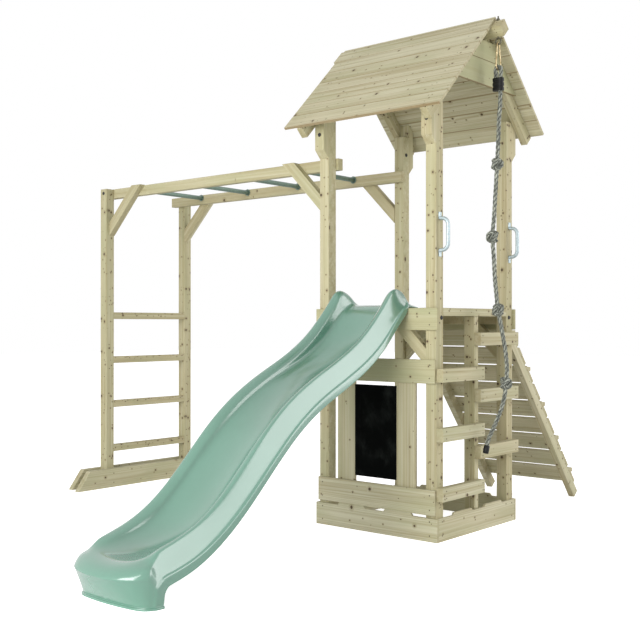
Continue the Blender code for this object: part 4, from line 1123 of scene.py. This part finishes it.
class PLAYTOWER_OT_roof_timber(bpy.types.Operator):
    """Gives the roof boards, rafters and gables their grained pine"""
    bl_idname = "play_tower.roof_timber"
    bl_label = "Roof timber"

    def execute(self, context):
        settings = context.scene.play_timber
        for side, name in ((-1, "slide"), (1, "ramp")):
            slope = down_roof(side)
            start = slope.dot(roof_ridge())
            boards = (slope, start, ROOF_LENGTH / ROOF_BOARDS, ROOF_JOINT)
            give_pine(f"roof_{name}_side", settings, AXES[X], boards=boards, pale=ROOF_PAINTED_LIGHT)
            for end in ("front", "back"):
                give_pine(f"rafter_{end}_{name}_side", settings, slope)
        for end in ("front", "back"):
            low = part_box(f"gable_{end}")[0].z
            boards = (AXES[Z], low, GABLE_BOARD, GABLE_JOINT)
            give_pine(f"gable_{end}", settings, AXES[Y], boards=boards, pale=GABLE_PAINTED_SHADE)
        return {"FINISHED"}


class PLAYTOWER_OT_climbing_timber(bpy.types.Operator):
    """Gives the monkey bars' rails and the climbing ramp their grained pine"""
    bl_idname = "play_tower.climbing_timber"
    bl_label = "Climbing timber"

    def execute(self, context):
        settings = context.scene.play_timber
        for name in ("near", "far"):
            low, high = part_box(f"bars_rail_{name}")
            middle = (low.x + high.x) / 2
            rising = Vector((DIAGONAL, 0, DIAGONAL))
            falling = Vector((-DIAGONAL, 0, DIAGONAL))
            reach = max(abs(low.y - TOWER.y), abs(high.y - TOWER.y))
            beside_rail = past_tower_half(Y, reach - RAIL_THICK + 0.0005)

            def brace(finish, place, beside_rail=beside_rail):
                under_rail = finish.along(place, AXES[Z]) < BARS_RAIL_LOW
                return beside_rail(finish, place).maths("MAXIMUM", under_rail)

            def tower_brace(finish, place, middle=middle, brace=brace):
                return brace(finish, place) * (finish.along(place, AXES[X]) > middle)

            parts = ((brace, rising), (tower_brace, falling))
            give_pine(f"bars_rail_{name}", settings, AXES[X], parts=parts)
        slope = down_ramp()
        start = slope.dot(ramp_start())
        slats_back = out_of_ramp().dot(ramp_start()) - BOARD
        give_pine(
            "ramp_slatted_side", settings, AXES[X], boards=(slope, start, RAMP_SLAT_PITCH, 0),
            parts=((under(out_of_ramp(), slats_back), slope),), pale=RAMP_PAINTED_LIGHT,
        )
        give_pine("ramp_stringer", settings, slope, pale=RAMP_PAINTED_LIGHT)
        return {"FINISHED"}


class PLAYTOWER_OT_chalkboard(bpy.types.Operator):
    """Paints the chalkboard"""
    bl_idname = "play_tower.chalkboard"
    bl_label = "Chalkboard"

    def execute(self, context):
        dress_node("chalkboard", chalkboard_paint())
        return {"FINISHED"}


# Slide
def follow(points, place):
    """Height at a distance, on a smooth line through (distance, height) points."""
    index = 0
    while index < len(points) - 2 and points[index + 1][0] < place:
        index += 1

    def slope(number):
        before, after = points[max(number - 1, 0)], points[min(number + 1, len(points) - 1)]
        return (after[1] - before[1]) / (after[0] - before[0])

    (x0, z0), (x1, z1) = points[index], points[index + 1]
    length = x1 - x0
    t = (place - x0) / length
    near = (1 + 2 * t) * (1 - t) ** 2 * z0 + t * (1 - t) ** 2 * length * slope(index)
    far = t * t * (3 - 2 * t) * z1 + t * t * (t - 1) * length * slope(index + 1)
    return near + far


def slide_section(place):
    """Half of the slide's outer and inner section at one distance, as (x, place, z) from its middle round."""
    share = min(max((place - SLIDE_RISE_START) / (SLIDE_RISE_END - SLIDE_RISE_START), 0.0), 1.0)
    rise = SLIDE_RISE * share * share * (3 - 2 * share)
    crest = follow(SLIDE_CREST, place) + rise
    bed = follow(SLIDE_BED, place) + rise
    growth = min(max((place - SLIDE_DISH_START) / SLIDE_DISH_GROWTH, 0.0), 1.0)
    dish = SLIDE_DISH * growth
    under = bed - SLIDE_SKIN
    skirt = min(follow(SLIDE_SKIRT, place) + rise, under) if place >= SLIDE_SKIRT_START else under
    side = crest - skirt
    line = skirt + min(SLIDE_FLANGE_HIGH, 0.35 * side)
    outer = [(part * SLIDE_BED_HALF, bed - dish * depth) for part, depth in SLIDE_DISH_CURVE]
    outer += [
        (SLIDE_BED_HALF, bed),
        (SLIDE_WALL_HALF, bed + SLIDE_WALL_HIGH * (crest - bed)),
        (SLIDE_CREST_INNER, crest - min(SLIDE_INNER_DROP, 0.2 * (crest - bed))),
        (SLIDE_CREST_HALF, crest),
        (SLIDE_CREST_OUTER, crest - min(SLIDE_OUTER_DROP, 0.2 * side)),
        (SLIDE_SIDE_HALF, line),
        (SLIDE_FLANGE_HALF, line - min(SLIDE_FLANGE_STEP, 0.1 * side)),
        (SLIDE_FLANGE_HALF, skirt),
    ]
    inner = [(SLIDE_FLANGE_HALF - SLIDE_EDGE, skirt), (SLIDE_UNDER_HALF, under), (SLIDE_BED_HALF, under)]
    inner += [(part * SLIDE_BED_HALF, under - dish * depth) for part, depth in reversed(SLIDE_DISH_CURVE)]
    return [[Vector((x, place, z)) for x, z in half] for half in (outer, inner)]


def foot_back(outer, inner):
    """The foot's flat back behind a row, from its lower edge to its middle."""
    edge = outer[-1]
    points = []
    for index, point in enumerate(inner):
        share = 1 - (1 - index / (len(inner) - 1)) ** 2
        x = edge.x - SLIDE_EDGE if index == 0 else point.x
        points.append(Vector((x, min(edge.y, FOOT_BACK), edge.z * (1 + share * FOOT_BACK_HIGH / edge.z))))
    return points


def tighten(row):
    """Splits a section's corner points in two, which keeps those corners tight under a smooth surface."""
    points = []
    for index, point in enumerate(row):
        if index not in SLIDE_CORNERS:
            points.append(point)
            continue
        before = row[index - 1] - point
        points.append(point + before.normalized() * min(SLIDE_CORNERS[index], 0.4 * before.length))
        if index + 1 < len(row):
            after = row[index + 1] - point
            points.append(point + after.normalized() * min(SLIDE_CORNERS[index], 0.4 * after.length))
        else:
            points.append(point)
    return points


def slide_rows():
    """Every half section, down the bed, over the nose and down the foot to the ground."""
    first, last, count = SLIDE_BODY_STATIONS
    places = list(SLIDE_TOP_STATIONS)
    places += [first + (last - first) * index / (count - 1) for index in range(count)]
    sections = [slide_section(place) for place in places]
    inner = sections[-1][1]
    turning = [sections[-2][0], sections[-1][0]]
    turning += [[Vector(point) for point in row] for row in SLIDE_NOSE]
    foot = [Vector((x, place, 0.0)) for x, place in SLIDE_FOOT]
    rim = turning[-1]
    turning += [[a.lerp(b, share) for a, b in zip(rim, foot)] for share in FOOT_SHARES]
    rows = []
    for index in range(1, len(turning) - 2):
        four = turning[index - 1:index + 3]
        rows.append([(9 * (b + c) - a - d) / 16 for a, b, c, d in zip(*four)])
        rows.append(four[2])
    rows.append(turning[-1])
    done = [tighten(outer) + low for outer, low in sections]
    done += [tighten(row) + foot_back(row, inner) for row in rows]
    for proud, high in FOOT_LIP:
        row = []
        for point in foot:
            across = (point.x / foot[-1].x) ** 3
            out = math.sqrt(1 - across * across)
            row.append(Vector((point.x + proud * across, point.y + proud * out, high)))
        back = [Vector((point.x, FOOT_BACK, high)) for point in foot_back(rows[-1], inner)]
        done.append(tighten(row) + back)
    return done


class PLAYTOWER_OT_slide(bpy.types.Operator):
    """Models the blow-moulded slide: dished bed, walls with a flat crest, moulded line, nose and foot"""
    bl_idname = "play_tower.slide"
    bl_label = "Slide"

    def execute(self, context):
        shape = bmesh.new()
        rings = []
        for half in slide_rows():
            ring = [shape.verts.new(TOWER + Vector((x, -place, z))) for x, place, z in half]
            ring += [shape.verts.new(TOWER + Vector((-x, -place, z))) for x, place, z in reversed(half[1:-1])]
            rings.append(ring)
        for first, second in zip(rings, rings[1:]):
            for index in range(len(first)):
                after = (index + 1) % len(first)
                shape.faces.new((first[index], first[after], second[after], second[index]))
        crease = shape.edges.layers.float.new("crease_edge")
        for ring in (rings[0], rings[-1]):
            for edge in shape.faces.new(ring).edges:
                edge[crease] = SLIDE_CREASE
        obj = object_from("slide_shell", shape)
        apply_modifier(obj, "SUBSURF", levels=2, render_levels=2)
        finish_piece(obj, "slide_shell", mint_plastic(context.scene.play_slide), angle=60)
        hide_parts("slide")
        return {"FINISHED"}


# Steel parts
def bar_master(length, flange_radius):
    """A steel bar along Y, about the origin, with a round flange on each end."""
    bar = cylinder("bar", BAR_RADIUS, length - 2 * FLANGE_THICK, (0, 0, 0), 32, (math.radians(90), 0, 0))
    inset = 0.0001
    share = flange_radius / (BAR_RADIUS - inset)
    for way in (1, -1):
        choose_faces(bar, lambda face: face.normal.y * way > 0.9)
        bpy.ops.mesh.inset(thickness=inset)
        bpy.ops.mesh.extrude_region_move(TRANSFORM_OT_translate={"value": (0, 0, 0)})
        bpy.ops.transform.resize(value=(share, 1, share), center_override=(0, 0, 0))
        bpy.ops.mesh.extrude_region_move(TRANSFORM_OT_translate={"value": (0, way * FLANGE_THICK, 0)})
        to_object_mode()
    ease_edges(bar, 0.0007)
    return bar


class PLAYTOWER_OT_bars(bpy.types.Operator):
    """Models the four steel monkey bars with their flanges"""
    bl_idname = "play_tower.bars"
    bl_label = "Monkey bars"

    def execute(self, context):
        settings = context.scene.play_metal
        material = zinc_steel("galvanised_steel", settings.steel, settings.steel_dark)
        low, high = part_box("bar_1")
        master = bar_master(high.y - low.y, settings.flange_radius)
        for number in range(1, 5):
            low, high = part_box(f"bar_{number}")
            bar = moved_copy(master, "bar", Matrix.Translation((low + high) / 2))
            finish_piece(bar, f"monkey_bar_{number}", material)
            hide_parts(f"bar_{number}")
        bpy.data.objects.remove(master, do_unlink=True)
        return {"FINISHED"}


class PLAYTOWER_OT_handles(bpy.types.Operator):
    """Models the two bent grab handles with their flattened ends"""
    bl_idname = "play_tower.handles"
    bl_label = "Grab handles"

    def execute(self, context):
        settings = context.scene.play_metal
        material = zinc_steel("handle_steel", settings.handle, settings.handle_dark)
        for name in ("slide", "ramp"):
            node = f"handle_{name}_side"
            piece = copy_of_node(node, "handle")
            ease_edges(piece, 0.0012, 1.0)
            finish_piece(piece, f"grab_handle_{name}_side", material, angle=60)
            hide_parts(node)
        return {"FINISHED"}


class PLAYTOWER_OT_hanger(bpy.types.Operator):
    """Models the eye bolt and the link that the rope hangs on"""
    bl_idname = "play_tower.hanger"
    bl_label = "Rope hanger"

    def execute(self, context):
        self.eye_bolt()
        self.link(context.scene.play_metal)
        return {"FINISHED"}

    def eye_bolt(self):
        low, high = (corner.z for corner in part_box("eye_bolt"))
        x, y = TOWER.x + HANGER_X, TOWER.y
        centre = low + EYE_WIRE + EYE_RING
        clear_selection()
        bpy.ops.mesh.primitive_torus_add(
            major_radius=EYE_RING, minor_radius=EYE_WIRE, major_segments=48, minor_segments=16,
            location=(x, y, centre), rotation=(math.radians(90), 0, 0))
        eye = bpy.context.object
        foot = centre + EYE_RING
        shank = cylinder("shank", EYE_SHANK, high - foot, (x, y, (high + foot) / 2), 24)
        washer_middle = RIDGE_TOP + GAP + WASHER_THICK / 2
        washer = cylinder("washer", WASHER_RADIUS, WASHER_THICK, (x, y, washer_middle), 32)
        nut_middle = washer_middle + (WASHER_THICK + NUT_HIGH) / 2
        nut = cylinder("nut", NUT_RADIUS, NUT_HIGH, (x, y, nut_middle), 6)
        for part, width in ((washer, 0.0004), (nut, 0.0008), (shank, 0.0006)):
            ease_edges(part, width)
        join(eye, [shank, washer, nut])
        steel = zinc_steel("eye_bolt_steel", EYE_BOLT_STEEL, DULL_EYE_BOLT_STEEL)
        finish_piece(eye, "eye_bolt_and_nut", steel)
        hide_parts("eye_bolt")

    def link(self, settings):
        """A pear-shaped link of round wire with a crimped sleeve on one leg."""
        low, high = (corner.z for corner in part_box("rope_link"))
        low += LINK_WIRE + LINK_LOW_BEND
        high -= LINK_WIRE + LINK_HIGH_BEND
        tilt = math.asin((LINK_LOW_BEND - LINK_HIGH_BEND) / (high - low))
        points = []
        for level, bend, start, end in (
            (high, LINK_HIGH_BEND, tilt, math.pi - tilt),
            (low, LINK_LOW_BEND, math.pi - tilt, 2 * math.pi + tilt),
        ):
            for step in range(LINK_STEPS + 1):
                turn = start + (end - start) * step / LINK_STEPS
                place = (HANGER_X, bend * math.cos(turn), level + bend * math.sin(turn))
                points.append(TOWER + Vector(place))
        link = wire_loop("link", points, LINK_WIRE)
        leg_top, leg_foot = points[LINK_STEPS:LINK_STEPS + 2]
        sleeve = cylinder("sleeve", SLEEVE_RADIUS, SLEEVE_LENGTH, (0, 0, 0), 6)
        ease_edges(sleeve, 0.0008)
        middle = leg_top.lerp(leg_foot, SLEEVE_SHARE)
        sleeve.data.transform(Matrix.Translation(middle) @ turn_from_z(leg_foot - leg_top))
        join(link, [sleeve])
        finish_piece(link, "hanging_link", yellow_zinc(settings), "rope_link")
        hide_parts("rope_link")


# Fasteners
def screw_master(radius):
    """A countersunk wood screw's head with a round recess, seated with its face just proud."""
    head = cylinder("screw", radius, 0.0016, (0, 0, -0.0004), 16)
    choose_faces(head, lambda face: face.normal.z > 0.9)
    bpy.ops.mesh.inset(thickness=radius * 0.16)
    bpy.ops.transform.translate(value=(0, 0, 0.0003))
    bpy.ops.mesh.inset(thickness=radius * 0.42)
    bpy.ops.mesh.extrude_region_move(TRANSFORM_OT_translate={"value": (0, 0, -0.0009)})
    bpy.ops.transform.resize(value=(0.8, 0.8, 1), center_override=(0, 0, 0))
    to_object_mode()
    return head


def cap_master(radius):
    """A black domed cap with a thin rim."""
    cap = cylinder("cap", radius, 0.002, (0, 0, 0.001), 24)
    choose_faces(cap, lambda face: face.normal.z > 0.9)
    bpy.ops.mesh.inset(thickness=radius * 0.12)
    bpy.ops.mesh.extrude_region_move(TRANSFORM_OT_translate={"value": (0, 0, 0.0022)})
    bpy.ops.mesh.extrude_region_move(TRANSFORM_OT_translate={"value": (0, 0, 0.0012)})
    bpy.ops.transform.resize(value=(0.86, 0.86, 1), center_override=(0, 0, 0))
    bpy.ops.mesh.extrude_region_move(TRANSFORM_OT_translate={"value": (0, 0, 0.0006)})
    bpy.ops.transform.resize(value=(0.6, 0.6, 1), center_override=(0, 0, 0))
    to_object_mode()
    ease_edges(cap, 0.0003, segments=1)
    return cap


def face_screws(node, face, inset, ends=(-1, 1)):
    """Screws on one upright face of a board, in pairs by a post's middle (-1 and 1) or the tower's (0)."""
    low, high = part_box(node)
    axis, way = FACES[face]
    along = Y if axis == X else X
    places = []
    for end in ends:
        for height in (low.z + inset, high.z - inset):
            point = Vector((0, 0, height))
            point[axis] = (high if way > 0 else low)[axis]
            point[along] = TOWER[along] + end * POST_MIDDLE
            places.append((point, AXES[axis] * way))
    return places


class PLAYTOWER_OT_screws(bpy.types.Operator):
    """Sets the wood screws in the boards, steps, roof, deck and ramp"""
    bl_idname = "play_tower.screws"
    bl_label = "Wood screws"

    def execute(self, context):
        settings = context.scene.play_fasteners
        master = screw_master(settings.screw_radius)
        steel = dark_screw_steel()
        groups = {"boards": [], "sandbox": [], "steps": [], "gables": [], "ladder": []}
        for group, node, face, inset in FACE_SCREWS:
            groups[group] += face_screws(node, face, inset)
        for number in range(1, 4):
            groups["steps"] += face_screws(f"step_near_{number}", "+X", STEP_SCREW_INSET, (-1, 0))
            groups["steps"] += face_screws(f"step_far_{number}", "+X", STEP_SCREW_INSET, (0, 1))
        for node, way in (("gable_front", 1), ("gable_back", -1)):
            low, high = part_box(node)
            x = high.x if way > 0 else low.x
            for height in GABLE_SCREW_HEIGHTS:
                for side in (-1, 1):
                    y = TOWER.y + side * (RIDGE_TOP - low.z - height - GABLE_SCREW_INSET)
                    groups["gables"].append((Vector((x, y, low.z + height)), AXES[X] * way))
        for number in range(1, 5):
            low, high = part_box(f"rung_{number}")
            for side in (-1, 1):
                y = TOWER.y + side * TOWER_HALF
                place = Vector(((low.x + high.x) / 2, y, (low.z + high.z) / 2))
                groups["ladder"].append((place, AXES[Y] * side))
        groups["deck"] = self.deck_places()
        for side, name in ((-1, "slide"), (1, "ramp")):
            groups[f"roof_{name}_side"] = self.roof_places(side)
        groups["ramp"] = self.ramp_places()
        for name, places in groups.items():
            piece = stand_copies(master, f"screws_{name}", places)
            finish_piece(piece, f"screws_{name}", steel)
        bpy.data.objects.remove(master, do_unlink=True)
        return {"FINISHED"}

    def deck_places(self):
        low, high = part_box("deck")
        pitch = (high.x - low.x) / DECK_PLANKS
        places = []
        for plank in range(DECK_PLANKS):
            for line in (low.y + DECK_SCREW_INSET, TOWER.y, high.y - DECK_SCREW_INSET):
                for share in DECK_SCREW_SHARES:
                    places.append((Vector((low.x + (plank + share) * pitch, line, DECK_TOP)), AXES[Z]))
        return places

    def roof_places(self, side):
        slope = down_roof(side)
        out = Vector((0, side * DIAGONAL, DIAGONAL))
        pitch = ROOF_LENGTH / ROOF_BOARDS
        places = []
        for board in range(ROOF_BOARDS):
            for share in ROOF_SCREW_SHARES:
                for end in (-1, 1):
                    over_rafter = Vector((end * (TOWER_HALF + RAIL_THICK / 2), 0, 0))
                    down = slope * (board + share) * pitch
                    places.append((roof_ridge() + over_rafter + down + out * BOARD, out))
        return places

    def ramp_places(self):
        places = []
        for slat in range(RAMP_SLATS):
            shares = RAMP_SCREW_SHARES[1:] if slat % 2 else RAMP_SCREW_SHARES
            for share in shares:
                down = down_ramp() * (slat * RAMP_SLAT_PITCH + share * RAMP_SLAT_WIDE)
                for side in (-1, 1):
                    over_stringer = Vector((side * (RAMP_HALF - RAIL_THICK / 2), 0, 0))
                    places.append((ramp_start() + down + over_stringer, out_of_ramp()))
        return places


class PLAYTOWER_OT_bolts(bpy.types.Operator):
    """Sets the black bolt caps on the posts, cleats and rails"""
    bl_idname = "play_tower.bolts"
    bl_label = "Bolt caps"

    def execute(self, context):
        settings = context.scene.play_fasteners
        master = cap_master(settings.cap_radius)
        places = []
        for place, face in BOLT_CAPS:
            axis, way = FACES[face]
            places.append((TOWER + Vector(place), AXES[axis] * way))
        cleat_face = FRONT_HIGH.y - TOWER.y
        for end in (-1, 1):
            for side in (-1, 1):
                point = Vector((end * POST_MIDDLE, side * cleat_face, CLEAT_CAP_HIGH))
                places.append((TOWER + point, AXES[Y] * side))
        ladder_low, ladder_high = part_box("ladder_post_far")
        ladder_x = (ladder_low.x + ladder_high.x) / 2
        for side in (-1, 1):
            place = Vector((ladder_x, TOWER.y + side * TOWER_HALF, LADDER_CAP_HIGH))
            places.append((place, AXES[Y] * side))
        caps = stand_copies(master, "bolt_caps", places)
        finish_piece(caps, "bolt_caps", bpy.data.materials["black_plastic"])
        bpy.data.objects.remove(master, do_unlink=True)
        return {"FINISHED"}


# Stage
def soft_light(name, from_target, size, power):
    """A large rectangular light that faces the lights' target."""
    light = bpy.data.lights.new(name, "AREA")
    light.shape = "RECTANGLE"
    light.size, light.size_y = size
    light.energy = power
    obj = add_object(name, light)
    obj.location = TOWER + LIGHT_TARGET + from_target
    obj.rotation_euler = (-from_target).to_track_quat("-Z", "Y").to_euler()


class PLAYTOWER_OT_stage(bpy.types.Operator):
    """Lays the pale floor and sets the soft studio light"""
    bl_idname = "play_tower.stage"
    bl_label = "Stage"

    def execute(self, context):
        settings = context.scene.play_stage
        scene = context.scene
        clear_selection()
        bpy.ops.mesh.primitive_plane_add(size=FLOOR_SIZE, location=(0, 0, 0))
        floor = bpy.context.object
        floor.name = "floor"
        finish = Finish("floor")
        glow = finish.node("ShaderNodeLightPath", output="Is Camera Ray") * settings.floor_glow + FLOOR_SHADE
        finish.set(Base_Color=colour(settings.floor_colour), Roughness=0.9)
        finish.set(Emission_Color=finish.vector(glow, glow, glow), Emission_Strength=1.0)
        floor.data.materials.append(finish.material)
        world = bpy.data.worlds.new("studio")
        world.use_nodes = True
        tree = world.node_tree
        background = tree.nodes["Background"]
        background.inputs["Color"].default_value = (1.0, 1.0, 1.0, 1.0)
        rays = tree.nodes.new("ShaderNodeLightPath")
        strength = tree.nodes.new("ShaderNodeMapRange")
        strength.inputs["To Min"].default_value = settings.sky
        strength.inputs["To Max"].default_value = settings.backdrop
        seen = tree.nodes.new("ShaderNodeMath")
        seen.operation = "MAXIMUM"
        tree.links.new(rays.outputs["Is Camera Ray"], seen.inputs[0])
        tree.links.new(rays.outputs["Is Glossy Ray"], seen.inputs[1])
        tree.links.new(seen.outputs["Value"], strength.inputs["Value"])
        tree.links.new(strength.outputs["Result"], background.inputs["Strength"])
        scene.world = world
        soft_light("key", KEY_PLACE, KEY_SIZE, settings.key)
        soft_light("side", SIDE_PLACE, SIDE_SIZE, settings.side)
        scene.view_settings.view_transform = "Standard"
        scene.view_settings.look = "None"
        return {"FINISHED"}


OPERATORS = (
    PLAYTOWER_OT_camera,
    PLAYTOWER_OT_rope,
    PLAYTOWER_OT_frame_timber,
    PLAYTOWER_OT_roof_timber,
    PLAYTOWER_OT_climbing_timber,
    PLAYTOWER_OT_chalkboard,
    PLAYTOWER_OT_slide,
    PLAYTOWER_OT_bars,
    PLAYTOWER_OT_handles,
    PLAYTOWER_OT_hanger,
    PLAYTOWER_OT_screws,
    PLAYTOWER_OT_bolts,
    PLAYTOWER_OT_stage,
)


class PLAYTOWER_PT_panel(bpy.types.Panel):
    """Lists the play tower's pieces and their settings"""
    bl_idname = "PLAYTOWER_PT_panel"
    bl_label = "Play tower"
    bl_space_type = "VIEW_3D"
    bl_region_type = "UI"
    bl_category = "Play tower"

    def draw(self, context):
        layout = self.layout
        for operator in OPERATORS:
            layout.operator(operator.bl_idname)
        for name in SETTINGS:
            settings = getattr(context.scene, name)
            box = layout.box()
            for key in settings.bl_rna.properties.keys():
                if key not in {"rna_type", "name"}:
                    box.prop(settings, key)


CLASSES = (*SETTINGS.values(), *OPERATORS, PLAYTOWER_PT_panel)


def register():
    for kind in CLASSES:
        bpy.utils.register_class(kind)
    for name, kind in SETTINGS.items():
        setattr(bpy.types.Scene, name, PointerProperty(type=kind))


def unregister():
    for name in SETTINGS:
        delattr(bpy.types.Scene, name)
    for kind in reversed(CLASSES):
        bpy.utils.unregister_class(kind)


def main():
    register()
    for operator in OPERATORS:
        group, name = operator.bl_idname.split(".")
        getattr(getattr(bpy.ops, group), name)()
    clear_selection()


if __name__ == "__main__":
    main()
